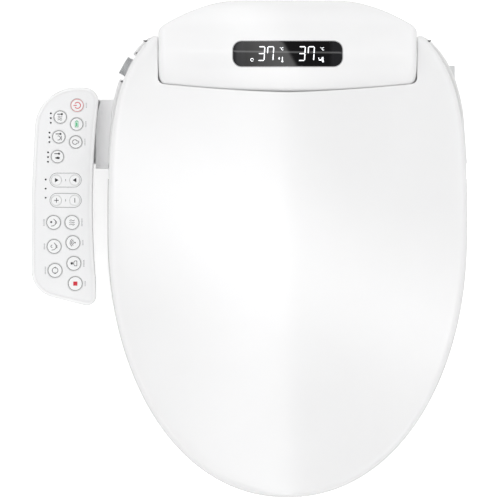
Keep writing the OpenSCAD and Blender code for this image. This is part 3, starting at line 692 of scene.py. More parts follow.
@dataclass
class Lid:
    """The lid: a crowned cover with a round rim, cut out round the housing, and its hinge ears."""

    edge: Outline = Outline(190.0, 280.0, 18.5)
    notch_half: float = 137.0
    notch_corner: float = 7.0
    wall: float = 3.2
    rim_width: float = 7.0
    rim_drop: float = 6.0
    crown: float = 4.0
    fall: float = 6.0
    lip: float = 1.0
    hinge: tuple[float, float] = (8.0, 68.0)
    bumpers: tuple[tuple[float, float], ...] = ((120.0, -330.0), (82.0, -425.0))

    def face(self, x: Array, y: Array) -> Array:
        """The height of the lid's face: an even rise with a crown along it, less a square fall sideways."""
        share = (y + 470.0) / 488.5
        return 66.0 + 50.0 * share + 4 * self.crown * share * (1 - share) - self.fall * (x / 190.0) ** 2

    def drop(self, depth: Array) -> Array:
        """How far the rim falls at a depth from the edge: a quarter of an ellipse."""
        share = np.clip((self.rim_width - depth) / self.rim_width, 0.0, 1.0)
        return self.rim_drop * (1 - np.sqrt(1 - share**2))

    def top(self, x: Array, y: Array) -> Array:
        """The face with its rim."""
        return self.face(x, y) - self.drop(self.edge.depth(x, y))

    def under(self, x: Array, y: Array) -> Array:
        """The underside: the same form, drawn in by the wall."""
        return self.face(x, y) - self.wall - self.drop(self.edge.depth(x, y) - self.wall)

    def plan(self) -> Array:
        """The lid's edge seen from above, with the notch for the housing, its inner corners rounded."""
        turn = np.linspace(math.radians(50.0), -math.radians(230.0), 260)
        rim = self.edge.points(turn)
        rim = rim[rim[:, 1] < 15.0]
        tip = float(self.edge.half_at(np.array([18.5]))[0])
        x = np.linspace(-124.0, 124.0, 63)
        left = [[-tip, 18.5, 1.6], [-self.notch_half, 18.5, 1.6]]
        left.append([-self.notch_half, float(seam(np.array([137.0]))[0]), self.notch_corner])
        right = [[-px, py, r] for px, py, r in left[::-1]]
        corners = np.vstack(
            [lift(rim, 0.05), left, np.column_stack([x, seam(x), np.full(len(x), 0.05)]), right]
        )
        return resample(rounded_corners(corners, 8), 1100)

    def build(self) -> None:
        """Makes the cover, its ears and its bumpers."""
        self.cover()
        self.ears()
        self.feet()

    def cover(self) -> None:
        """Draws rings from the plan: over the rim, down the skirt, and back up inside it. Along the notch
        the rings only round off the thickness of the face."""
        loop = self.plan()
        normal = inward(loop)
        x, y = loop[:, 0], loop[:, 1]
        notch = smooth(self.edge.depth(x, y) / 2.2)
        room = np.where(y > -60.0, 0.25 * (self.edge.half_at(y) - self.notch_half), self.rim_width)
        share = np.clip(room / self.rim_width, 0.05, 1.0)
        low = np.where(y > -2.0, 70.5, shoulder(y) + 2.5)
        low = np.where(y > 10.0, 71.5, low)

        def ring(rim_in: float, lip_in: float, rim_z: Array, lip_z: Array) -> Array:
            """One ring, drawn in by one distance on the rim and another on the notch, each at its height."""
            at = loop + normal * (rim_in * share * (1 - notch) + lip_in * notch)[:, None]
            return lift(at, rim_z * (1 - notch) + lip_z * notch)

        def surface(rim_in: float, lip_in: float, form: Callable[[Array, Array], Array]) -> Array:
            """The height of a surface where such a ring lies."""
            at = loop + normal * (rim_in * share * (1 - notch) + lip_in * notch)[:, None]
            return form(at[:, 0], at[:, 1])

        rings = []
        for turn in np.linspace(math.pi / 2, 0.0, 10):
            rim_in, lip_in = self.rim_width * (1 - math.cos(turn)), self.lip * (1 - math.cos(turn))
            z = surface(rim_in, lip_in, self.top)
            rings.append(ring(rim_in, lip_in, z, z - self.lip * (1 - math.sin(turn))))
        bottom = surface(0.0, 0.0, self.top) - self.wall
        rings.append(ring(0.0, 0.0, low + 0.6, bottom + 0.5))
        rings.append(ring(0.5, 0.4, low, bottom))
        rings.append(ring(self.wall - 0.4, 0.8, low, bottom))
        rings.append(ring(self.wall, 1.2, low + 0.5, surface(self.wall, 1.2, self.under)))
        inner = surface(self.wall, 1.4, self.under)
        rings.append(ring(self.wall, 1.4, inner - 1.0, inner))
        for step in (4.4, 6.4, 9.0, 11.4):
            inner = surface(step, step / 4, self.under)
            rings.append(ring(step, step / 4, inner, inner))
        shape = Shape()
        shape.loft(np.stack(rings))
        shape.fill([rings[0]], 7.0, self.top)
        shape.fill([rings[-1]], 9.0, self.under)
        shape.build("lid_cover", "lid", [LID_WHITE], ["lid"], slot="lid_white")

    def ears(self) -> None:
        """Two upright ears round the hinge line, each a rounded tab drawn in (Y, Z)."""
        y, z = self.hinge
        arc = np.linspace(math.pi, math.tau, 25)
        tab = np.vstack(
            [np.stack([y + 7 * np.cos(arc), z + 7 * np.sin(arc)], axis=1), [[y + 7, z + 39], [y - 7, z + 39]]]
        )
        for name, x in (("left", -140.3), ("right", 137.3)):
            shape = Shape()
            shape.prism(resample(tab, 90), x, x + 3.0, 0.5)
            shape.moved(lambda p: p[:, [2, 0, 1]])
            shape.build(f"lid_ear_{name}", "lid", [LID_WHITE], slot="lid_white")

    def feet(self) -> None:
        """Four rubber bumpers under the lid, turned from a profile that swells and rounds to its foot."""
        shape = Shape()
        for side in (-1, 1):
            for px, py in self.bumpers:
                high = float(self.under(np.array([px]), np.array([py]))[0])
                low = float(shoulder(np.array([py]))[0]) + 5.6
                turn = np.linspace(0.0, math.pi / 2, 7)
                foot = np.stack([4.4 * np.sin(turn), low + 2.4 * (1 - np.cos(turn))], axis=1)
                body = [[4.9, low + 4.0], [6.0, low + 4.6]]
                body += [[6.0, high - 3.2], [5.6, high - 2.8], [0.0, high - 2.8]]
                shape.lathe(np.vstack([foot, body]), side * px, py)
        shape.build("lid_bumper_feet", "lid", [RUBBER], ["lid_bumpers"], slot="rubber_grey")


@dataclass
class Seat:
    """The seat: a swept ring with a stepped underside, hinge ears and rubber bumpers."""

    edge: Outline = Outline(191.5, 281.5, -6.0)
    hole_half: float = 106.0
    hole_reach: float = 150.0
    hole_middle: float = -250.0
    hole_power: float = 2.3
    low: float = 10.0
    step_y: float = -132.0
    step_z: float = 52.0
    around: int = 384
    section: tuple[tuple[float, float], ...] = (
        (0.0, -7.0), (0.004, -5.6), (0.012, -4.0), (0.03, -2.0), (0.06, -0.1), (0.1, 1.5), (0.16, 3.0),
        (0.25, 4.05), (0.35, 4.5), (0.5, 4.6), (0.65, 4.4), (0.75, 3.5), (0.83, 2.2), (0.9, 0.4),
        (0.95, -2.2), (0.98, -5.2), (0.994, -8.4), (1.0, -12.0),
    )

    def ring(self, share: float, height: float | None, level: float = 0.0) -> Array:
        """A ring of the seat: each point a share of the way from the outer edge to the opening.

        Args:
            share: 0 at the outer edge and 1 at the opening.
            height: its height over the shoulder, or none for a level ring.
            level: the height of a level ring.

        Returns:
            The ring's points.
        """
        turn = -np.linspace(0.0, math.tau, self.around, endpoint=False)
        outer = self.edge.points(turn)
        inner = np.stack(
            [self.hole_half * spow(np.cos(turn), 2 / self.hole_power),
             self.hole_middle + self.hole_reach * spow(np.sin(turn), 2 / self.hole_power)], axis=1)
        at = outer + (inner - outer) * share
        return lift(at, level if height is None else shoulder(at[:, 1]) + height)

    def build(self) -> None:
        """Makes the ring, its ears and what is under it."""
        self.body()
        self.ears()
        softened("seat_lower", "seat", SEAT_WHITE, 0.5)
        softened("seat_bumpers", "seat", RUBBER, 1.4, segments=3)

    def body(self) -> None:
        """Lofts the section round, then cuts away the room for the base and its housing."""
        rings = [self.ring(0.0, None, self.low + 0.7), *(self.ring(s, h) for s, h in self.section)]
        foot = ((1.0, 0.7), (0.994, 0.0), (0.969, 0.0), (0.963, 0.4), (0.963, 2.5),
                (0.038, 2.5), (0.038, 0.4), (0.032, 0.0), (0.005, 0.0), (0.0, 0.7))
        rings += [self.ring(s, None, self.low + h) for s, h in foot]
        whole = Shape()
        whole.loft(np.stack(rings))
        piece = whole.build("seat_ring", "seat", [SEAT_WHITE], ["seat_upper"], crease=32.0, slot="seat_white")
        cuts = Shape()
        plan = np.array([[-230, self.step_y], [230, self.step_y], [230, 60], [-230, 60]], float)
        cuts.prism(resample(plan, 400), -6.0, self.step_z, 0.0, 1)
        rear = np.array([[-136.9, -56.0, 3], [136.9, -56.0, 3], [136.9, 60, 3], [-136.9, 60, 3]], float)
        cuts.prism(resample(rounded_corners(rear, 8), 400), 40.0, 90.0, 0.0, 1)
        tool = cuts.build("seat_cutter", "seat", [SEAT_WHITE])
        cut = piece.modifiers.new("cut", "BOOLEAN")
        cut.object, cut.operation, cut.solver = tool, "DIFFERENCE", "EXACT"
        cut.use_self = True
        bpy.context.view_layer.update()
        solved = bpy.data.meshes.new_from_object(
            piece.evaluated_get(bpy.context.evaluated_depsgraph_get())
        )
        piece.modifiers.clear()
        piece.data = solved
        solved.set_sharp_from_angle(angle=math.radians(32.0))
        bpy.data.objects.remove(tool)

    def ears(self) -> None:
        """Two ears that reach back from the seat's shoulder to the hinge line, drawn in (Y, Z)."""
        arc = np.linspace(-math.radians(75), math.radians(90), 20)
        nose = np.stack([8 + 7 * np.cos(arc), 68 + 7 * np.sin(arc)], axis=1)
        arm = np.vstack([[[-22.0, 53.0], [4.0, 61.3]], nose, [[-22.0, 61.4]]])
        for name, x in (("left", -144.8), ("right", 140.8)):
            shape = Shape()
            shape.prism(resample(arm, 120), x, x + 4.0, 0.5)
            shape.moved(lambda p: p[:, [2, 0, 1]])
            shape.build(f"seat_ear_{name}", "seat", [SEAT_WHITE], slot="seat_white")


# ------------------------------------------------------------------ base


@dataclass
class Housing:
    """The rear housing: a barrel about the hinge line with rounded ends, standing on the deck."""

    half: float = 136.5
    hinge: tuple[float, float] = (8.0, 68.0)
    radius: float = 62.0
    fall: float = 7.5
    end_round: float = 7.0
    back_round: float = 5.0
    foot: float = 49.7
    deck: float = 50.0
    split: float = 30.1
    lens_size: tuple[float, float] = (116.0, 27.0)
    lens_y: float = -0.8
    lens_round: float = 9.5

    def barrel(self, x: Array) -> Array:
        """The barrel's radius: it falls with the square of the distance from the middle, and by a quarter
        round at its ends."""
        over = np.clip((np.abs(x) - self.half + self.end_round) / self.end_round, 0.0, 1.0)
        return self.radius - self.fall * (x / self.half) ** 2 - self.end_round * (1 - np.sqrt(1 - over**2))

    def crest(self, x: Array, y: Array) -> Array:
        """The height of the barrel over a point."""
        reach = self.barrel(x)
        return self.hinge[1] + np.sqrt(np.maximum(reach**2 - (y - self.hinge[0]) ** 2, 0.0))

    def back(self, x: Array) -> Array:
        """The housing's back: level in the middle, falling by a power of 1.75, with rounded corners."""
        away = np.maximum(0.0, np.abs(x) - 55.0) / 81.5
        turn = np.clip((np.abs(x) - 130.5) / 6.0, 0.0, 1.0)
        return 56.2 - 29.0 * away**1.75 - 4.4 * (1 - np.sqrt(1 - turn**2))

    def build(self) -> None:
        """Makes the hump, the deck, the read-out's lens and the grey ring round it, whose grey is a painted
        highlight.
        """
        self.hump()
        self.wings()
        self.lens()

    def hump(self) -> None:
        """A profile in (Y, Z) carried along X: up the front, round the barrel, over the back edge by a small
        round that touches the barrel and the back, and down the back."""
        ends = self.half - self.end_round + self.end_round * np.sin(np.linspace(0, math.pi / 2, 12))
        ends[-1] = self.half
        across = np.concatenate([np.linspace(0.0, self.half - self.end_round, 46)[:-1], ends])
        x = np.concatenate([-across[:0:-1], across])[:, None]
        reach = self.barrel(x)
        y0, z0 = self.hinge
        back, soft = self.back(x), self.back_round
        middle = z0 + np.sqrt((reach - soft) ** 2 - (back - soft - y0) ** 2)
        start = np.arccos((back - soft - y0) / (reach - soft))
        rise = np.linspace(0.0, 1.0, 4)[None]
        sweep = np.linspace(0.0, 1.0, 49)[None]
        turn = math.pi + (start - math.pi) * sweep
        tuck = start * (1 - np.linspace(0.0, 1.0, 9)[None, 1:])
        column = np.concatenate(
            [y0 - reach + 0 * rise[:, :-1], y0 + reach * np.cos(turn), back - soft + soft * np.cos(tuck),
             back + 0 * rise[:, 1:], back - 8 + 0 * rise[:, :1], back - 8 + 0 * rise[:, :1]], axis=1)
        height = np.concatenate(
            [self.foot + (z0 - self.foot) * rise[:, :-1] + 0 * reach, z0 + reach * np.sin(turn),
             middle + soft * np.sin(tuck), middle + (self.split + 0.1 - middle) * rise[:, 1:],
             self.split + 0.1 + 0 * reach, self.foot + 0 * reach], axis=1)
        rings = np.stack([x + 0 * column, column, height], axis=-1)
        shape = Shape()
        shape.loft(rings)
        shape.cap(rings[0])
        shape.cap(rings[-1])
        shape.build("rear_hump", "base", [HOUSING_WHITE], ["upper_casing"], crease=40.0, slot="casing_white")

    def plan(self) -> Array:
        """The deck from above: superellipse wings, a front that steps back between them, a bay in the left
        wing for the water inlet, and the housing's back a little drawn in."""
        turn = np.radians(np.linspace(17.5, 90.0, 60))
        side = np.stack([192.0 * spow(np.cos(turn), 0.5), -190.0 + 232.0 * spow(np.sin(turn), 0.5)], axis=1)
        side = side[side[:, 1] < 17.0]
        top_x = float(np.interp(18.5, side[:, 1], side[:, 0])) - 0.6
        front_x = np.linspace(-185.0, 185.0, 75)
        front = np.stack([front_x, -105.0 - 15.0 * smooth((np.abs(front_x) - 85.0) / 60.0)], axis=1)
        low_y = -120.0
        back_x = np.linspace(135.9, -135.9, 69)
        back = np.stack([back_x, self.back(back_x) - 0.4], axis=1)
        tip, along = np.array([-175.0, -10.0]), np.array([math.cos(math.radians(150)), 0.5])
        across = np.array([-along[1], along[0]])
        left = side[::-1] * [-1, 1]
        off = (left - tip) @ across
        order = np.argsort(off)
        cuts = [
            np.array([np.interp(w, off[order], left[order, k]) for k in (0, 1)]) for w in (15.0, -15.0)
        ]
        cuts.sort(key=lambda p: -p[1])
        above = left[(left[:, 1] > cuts[0][1] + 1.5)]
        below = left[(left[:, 1] < cuts[1][1] - 1.5)]
        bay = [tip - 12 * along + across * 15 * np.sign((cuts[0] - tip) @ across)]
        bay.append(tip - 12 * along + across * 15 * np.sign((cuts[1] - tip) @ across))
        blocks = [
            lift(front, 0.1), [[191.6, low_y, 6.0]], lift(side[side[:, 1] > low_y + 8], 0.1),
            [[top_x, 18.5, 6.0], [136.1, 18.5, 1.0]], lift(back, 0.1),
            [[-136.1, 18.5, 1.0], [-top_x, 18.5, 6.0]], lift(above, 0.1),
            [[*cuts[0], 1.2], [*bay[0], 1.0], [*bay[1], 1.0], [*cuts[1], 1.2]],
            lift(below[below[:, 1] > low_y + 8], 0.1), [[-191.6, low_y, 6.0]],
        ]
        return resample(rounded_corners(np.vstack(blocks), 8), 1300)

    def wings(self) -> None:
        """The deck, a shallow prism with a soft upper edge."""
        loop = self.plan()
        normal = inward(loop)
        turn = np.linspace(0.0, math.pi / 2, 6)
        rings = [lift(loop + normal * 0.4, self.split), lift(loop, self.split + 0.4)]
        rings += [
            lift(loop + normal * 2.4 * (1 - math.cos(t)), self.deck - 2.4 * (1 - math.sin(t))) for t in turn
        ]
        shape = Shape()
        shape.loft(np.stack(rings))
        shape.cap(rings[0])
        shape.cap(rings[-1])
        shape.build("deck_cover", "base", [CASING_WHITE], slot="casing_white")

    def lens(self) -> None:
        """The smoked lens and the grey ring round it, both on the barrel; the ring's grey is a painted
        highlight along the lens's rim, and its glossy raised profile also catches real reflection.
        """
        half_x, half_y = self.lens_size[0] / 2, self.lens_size[1] / 2
        signs = ((1, 1), (-1, 1), (-1, -1), (1, -1))
        corners = [[sx * half_x, self.lens_y + sy * half_y, self.lens_round] for sx, sy in signs]
        loop = resample(rounded_corners(np.array(corners), 12), 240)
        normal = inward(loop)

        def at(draw: float, up: float) -> Array:
            """A ring drawn in from the lens's edge, at a height over the barrel."""
            ring = loop + normal * draw
            return lift(ring, self.crest(ring[:, 0], ring[:, 1]) + up)

        shape = Shape()
        rings = [at(0.9, 0.2), at(0.45, 0.18), at(0.2, 0.1), at(0.1, -0.1), at(0.1, -1.6)]
        shape.loft(np.stack(rings))
        shape.fill([rings[0]], 2.6, lambda x, y: self.crest(x, y) + 0.2)
        shape.fill([rings[-1]], 4.0, lambda x, y: self.crest(x, y) - 1.6)
        shape.build("display_window", "base", [LENS_BLACK], ["display_lens"], slot="lens_black")
        # The ring round the lens: its grey colour is a painted highlight of the lens's rim.
        highlight_ring = Shape()
        steps = ((-0.75, -0.6), (-0.7, 0.02), (-0.45, 0.13), (-0.1, 0.13), (0.12, 0.04), (0.12, -0.6))
        steps += steps[:1]
        highlight_ring.loft(np.stack([at(d, u) for d, u in steps]))
        highlight_ring.build("display_painted_rim_highlight", "base", [PAINTED_RIM_HIGHLIGHT], slot="lens_black")


@dataclass
class Base:
    """The lower casing and what stands out of it: plate, pads, inlet, button, lamp, flap, gland and wands."""

    inlet_tip: tuple[float, float, float] = (-175.0, -10.0, 22.0)
    inlet_turn: float = 150.0
    inlet_radius: float = 10.48
    inlet_length: float = 12.0
    thread_pitch: float = 1.81

    def build(self) -> None:
        """Makes the pieces."""
        softened("lower_casing", "base", CASING_WHITE, 0.45, crease=28.0)
        softened("mounting_plate", "base", CASING_WHITE, 0.4)
        softened("slot_inserts", "base", INNER_GREY, 0.3)
        softened("plate_pads", "base", PAD_RUBBER, 0.4)
        # The arm takes the lifted white, painted light against the shade between panel and lid.
        softened("side_arm", "base", ARM_WHITE_PAINTED_LIGHT, 1.2, segments=3)
        softened("release_button", "release_button", BUTTON_GREY, 1.0, segments=3)
        softened("dryer_flap", "dryer_flap", CASING_WHITE, 0.25)
        softened("cord_gland", "base", INNER_GREY, 0.5)
        softened("night_light", "base", CLEAR, 0.6, segments=3)
        for side in ("rear", "front"):
            softened(f"{side}_wand", f"{side}_wand", WAND_STEEL, 0.12)
            softened(f"{side}_tip", f"{side}_wand", CASING_WHITE, 0.0)
        self.inlet()

    def inlet(self) -> None:
        """The threaded inlet: its radius swells and shrinks along a helix, and its bore stays open."""
        count, rows = 72, 61
        turn = np.linspace(0.0, math.tau, count, endpoint=False)[None]
        run = np.linspace(0.0, 1.0, rows)[:, None]
        z = -self.inlet_length + (self.inlet_length - 0.9) * run
        phase = (z / self.thread_pitch - turn / math.tau) % 1.0
        fade = smooth((z + self.inlet_length) / 1.5) * smooth((-0.4 - z) / 1.2)
        radius = self.inlet_radius - 0.95 * fade * (1 - np.abs(2 * phase - 1))
        rings = np.stack([radius * np.cos(turn), radius * np.sin(turn), z + 0 * turn], axis=-1)
        far = [(9.8, -0.2), (9.2, 0.0), (6.9, 0.0), (6.5, -0.4), (6.5, -23.8), (4.0, -24.0), (4.0, -30.0),
               (11.0, -30.0), (11.0, -25.0), (8.0, -25.0), (8.0, -12.1), (10.4, -12.0)]
        tail = np.stack(
            [np.stack([r * np.cos(turn[0]), r * np.sin(turn[0]), np.full(count, h)], axis=1) for r, h in far]
        )
        shape = Shape()
        shape.loft(np.concatenate([rings, tail, rings[:1]]))
        spin = math.radians(self.inlet_turn)

        def place(p: Array) -> Array:
            """Turns the inlet's own axis to lie level, at its angle, and carries it to the tip."""
            x, y, z = p[:, 2], p[:, 1], -p[:, 0]
            return np.stack(
                [self.inlet_tip[0] + x * math.cos(spin) - y * math.sin(spin),
                 self.inlet_tip[1] + x * math.sin(spin) + y * math.cos(spin), self.inlet_tip[2] + z], axis=1)

        shape.moved(place)
        shape.build("inlet_thread", "base", [INNER_GREY], ["water_inlet"], crease=30.0, slot="inner_grey")


# ------------------------------------------------------------------ printed marks


def pill(width: float, height: float, centre: tuple[float, float], count: int = 96) -> Array:
    """A rounded-ended bar: a circle whose points are moved apart by half the straight length."""
    turn = np.linspace(0.0, math.tau, count, endpoint=False) + math.tau / count / 2
    radius = height / 2
    x = radius * np.cos(turn) + np.sign(np.cos(turn)) * (width / 2 - radius)
    return np.stack([centre[0] + x, centre[1] + radius * np.sin(turn)], axis=1)


def stroke(start: Sequence[float], end: Sequence[float], width: float) -> Array:
    """A straight stroke with round ends, as an outline."""
    a, b = np.array(start, float), np.array(end, float)
    run = b - a
    length = float(np.linalg.norm(run))
    unit = run / max(length, 1e-9)
    flat = pill(length + width, width, (0.0, 0.0), 28)
    side = np.array([-unit[1], unit[0]])
    return (a + b) / 2 + flat[:, :1] * unit + flat[:, 1:] * side


def sector(x: float, y: float, radius: float, width: float, start: float, end: float) -> Array:
    """Part of a ring between two angles in degrees, as an outline."""
    turn = np.radians(np.linspace(start, end, max(10, int(abs(end - start) / 8))))
    way = np.stack([np.cos(turn), np.sin(turn)], axis=1)
    outer, inner = way * (radius + width / 2), way * (radius - width / 2)
    return np.vstack([outer, inner[::-1]]) + [x, y]


def drop_shape(x: float, y: float, size: float) -> Array:
    """A water drop: a circle drawn up to a point on one side."""
    turn = np.linspace(0.0, math.tau, 40, endpoint=False)
    return np.stack(
        [x + size * 0.62 * np.sin(turn) * np.sin(turn / 2) ** 1.2, y + size * np.cos(turn)], axis=1
    )


@dataclass
class Print:
    """Flat marks lifted onto a surface as thin slabs, so that each is a closed solid."""

    surface: Callable[[Array, Array], Array]
    thick: float = 0.03
    turn_up: bool = True
    centre: tuple[float, float] = (0.0, 0.0)
    pitch: float = 0.0
    shape: Shape = field(default_factory=Shape)

    def place(self, loop: Array) -> Array:
        """Turns a mark to be read from the seat's side, with its upper side to -X, and moves it."""
        at = np.stack([-loop[:, 1], loop[:, 0]], axis=1) if self.turn_up else loop
        return at + self.centre

    def mark(self, *loops: Array, slot: int = 0) -> "Print":
        """Adds filled marks."""
        for loop in loops:
            at = self.place(loop)
            if self.pitch:
                length = np.sum(np.linalg.norm(np.roll(at, -1, axis=0) - at, axis=1))
                at = resample(at, max(12, int(length / self.pitch * 1.6)))
            z = self.surface(at[:, 0], at[:, 1])
            for half in (-self.thick / 2, self.thick / 2):
                if self.pitch:
                    level = lambda x, y, h=half: self.surface(x, y) + h
                    self.shape.fill([lift(at, z + half)], self.pitch, level, slot)
                else:
                    self.shape.cap(lift(at, z + half), slot)
            self.shape.loft(np.stack([lift(at, z - self.thick / 2), lift(at, z + self.thick / 2)]), slot=slot)
        return self

    def band(self, outer: Array, inner: Array, slot: int = 0) -> "Print":
        """Adds the band between two outlines of the same number of points."""
        far, near = self.place(outer), self.place(inner)
        z_far, z_near = self.surface(far[:, 0], far[:, 1]), self.surface(near[:, 0], near[:, 1])
        half = self.thick / 2
        self.shape.loft(
            np.stack([lift(far, z_far - half), lift(far, z_far + half), lift(near, z_near + half),
                      lift(near, z_near - half), lift(far, z_far - half)]), slot=slot)
        return self


def bar_mark(centre: tuple[float, float], count: int, seed: int) -> list[Array]:
    """A row of short upright bars of uneven height, in place of a label.

    Args:
        centre: the middle of the row.
        count: how many bars.
        seed: the seed of the heights.

    Returns:
        The outlines of the bars.
    """
    high = np.random.default_rng(seed).uniform(0.75, 1.35, count)
    x = (np.arange(count) - (count - 1) / 2) * 0.92 + centre[0]
    return [stroke((px, centre[1] - h / 2), (px, centre[1] + h / 2), 0.42) for px, h in zip(x, high)]


# ------------------------------------------------------------------ read-out


@dataclass
class ReadOut:
    """What shows through the smoked lens: two numbers of seven-segment digits and their small signs."""

    housing: Housing
    digit: tuple[float, float] = (7.2, 15.4)
    thick: float = 1.0
    slant: float = 0.06
    left_digits: tuple[tuple[float, str], ...] = ((-27.6, "3"), (-18.2, "7"), (15.1, "3"), (24.7, "7"))
    segments: dict[str, str] = field(default_factory=lambda: {"3": "abcdg", "7": "abcf"})

    def build(self) -> None:
        """Makes the signs as one piece that follows the lens."""
        panel = Print(lambda x, y: self.housing.crest(x, y) + 0.22, turn_up=False, pitch=1.1)
        for x, text in self.left_digits:
            panel.mark(*self.strokes(x, -0.6, self.segments[text]))
        for x in (-6.2, 36.6):
            panel.mark(sector(x + 0.9, 4.4, 1.3, 0.55, 50, 310), circle(x - 1.5, 5.6, 0.45, 16))
            panel.mark(stroke((x + 0.6, -4.4), (x + 0.6, -8.2), 0.9), circle(x + 0.6, -8.8, 1.0, 20))
        panel.mark(drop_shape(-9.0, -5.4, 1.5), sector(-37.6, -7.1, 1.5, 0.6, 0, 330))
        panel.mark(sector(34.4, -5.4, 1.7, 0.6, 150, 390), stroke((32.8, -7.6), (36.0, -7.6), 0.55))
        panel.shape.build("read_out", "base", [LIT_WHITE])

    def strokes(self, x: float, y: float, lit: str) -> list[Array]:
        """The lit segments of one digit, each a bar with pointed ends, leaning a little to the right."""
        w, h, t = self.digit[0] / 2, self.digit[1] / 2, self.thick
        a, b = w - t / 2, h - t / 2
        ends = {
            "a": ((-a, b), (a, b)), "b": ((a, b), (a, 0)), "c": ((a, 0), (a, -b)), "d": ((-a, -b), (a, -b)),
            "e": ((-a, 0), (-a, -b)), "f": ((-a, b), (-a, 0)), "g": ((-a, 0), (a, 0)),
        }
        found = []
        for name in lit:
            start, end = np.array(ends[name][0]), np.array(ends[name][1])
            unit = (end - start) / np.linalg.norm(end - start)
            side = np.array([-unit[1], unit[0]]) * t / 2
            start, end = start + unit * 0.2, end - unit * 0.2
            bar = np.array(
                [start, start + unit * t / 2 + side, end - unit * t / 2 + side, end,
                 end - unit * t / 2 - side, start + unit * t / 2 - side])
            bar = resample(bar, 36)
            found.append(bar + np.stack([x + self.slant * bar[:, 1], np.full(len(bar), y)], axis=1))
        return found


# ------------------------------------------------------------------ side panel


class Sign(Enum):
    """The sign printed on a key."""

    POWER = "power"
    ECO = "eco"
    LIGHT = "light"
    DRY_TEMP = "dry_temp"
    SEAT_TEMP = "seat_temp"
    WATER_TEMP = "water_temp"
    POSITION_UP = "position_up"
    POSITION_DOWN = "position_down"
    FLOW_UP = "flow_up"
    FLOW_DOWN = "flow_down"
    REAR = "rear"
    DRY = "dry"
    PULSE = "pulse"
    FRONT = "front"
    CHILD = "child"
    AUTO = "auto"
    STOP = "stop"


KEY_PLACES: dict[Sign, tuple[float, float, float]] = {
    Sign.POWER: (-223.5, -54.0, 7.1), Sign.ECO: (-224.0, -74.0, 7.1), Sign.LIGHT: (-225.0, -93.0, 7.1),
    Sign.DRY_TEMP: (-241.5, -66.5, 7.1), Sign.SEAT_TEMP: (-243.0, -87.5, 7.1),
    Sign.WATER_TEMP: (-244.5, -108.5, 7.1), Sign.POSITION_UP: (-226.0, -133.5, 5.4),
    Sign.POSITION_DOWN: (-245.5, -133.5, 5.4), Sign.FLOW_UP: (-245.5, -155.0, 5.4),
    Sign.FLOW_DOWN: (-226.0, -155.0, 5.4), Sign.REAR: (-248.5, -178.5, 7.9), Sign.DRY: (-229.0, -178.5, 7.9),
    Sign.PULSE: (-228.0, -200.0, 7.9), Sign.FRONT: (-248.0, -204.0, 7.9), Sign.CHILD: (-227.0, -222.0, 7.9),
    Sign.AUTO: (-247.0, -229.5, 7.9), Sign.STOP: (-225.5, -243.5, 7.9),
}


# Keys without a row of bars beside them, as their lamps or outlines stand there.
UNLABELLED = (
    Sign.POSITION_UP, Sign.POSITION_DOWN, Sign.FLOW_UP, Sign.FLOW_DOWN,
    Sign.DRY_TEMP, Sign.SEAT_TEMP, Sign.WATER_TEMP,
)


def wave(x: float, y: float, length: float, width: float) -> Array:
    """A wavy upright stroke: a band either side of a sine."""
    run = np.linspace(-length / 2, length / 2, 20)
    line = x + 0.55 * np.sin(run * math.tau / length * 1.25)
    left, right = np.stack([line - width / 2, y + run], axis=1), np.stack([line + width / 2, y + run], axis=1)
    return np.vstack([right, left[::-1]])


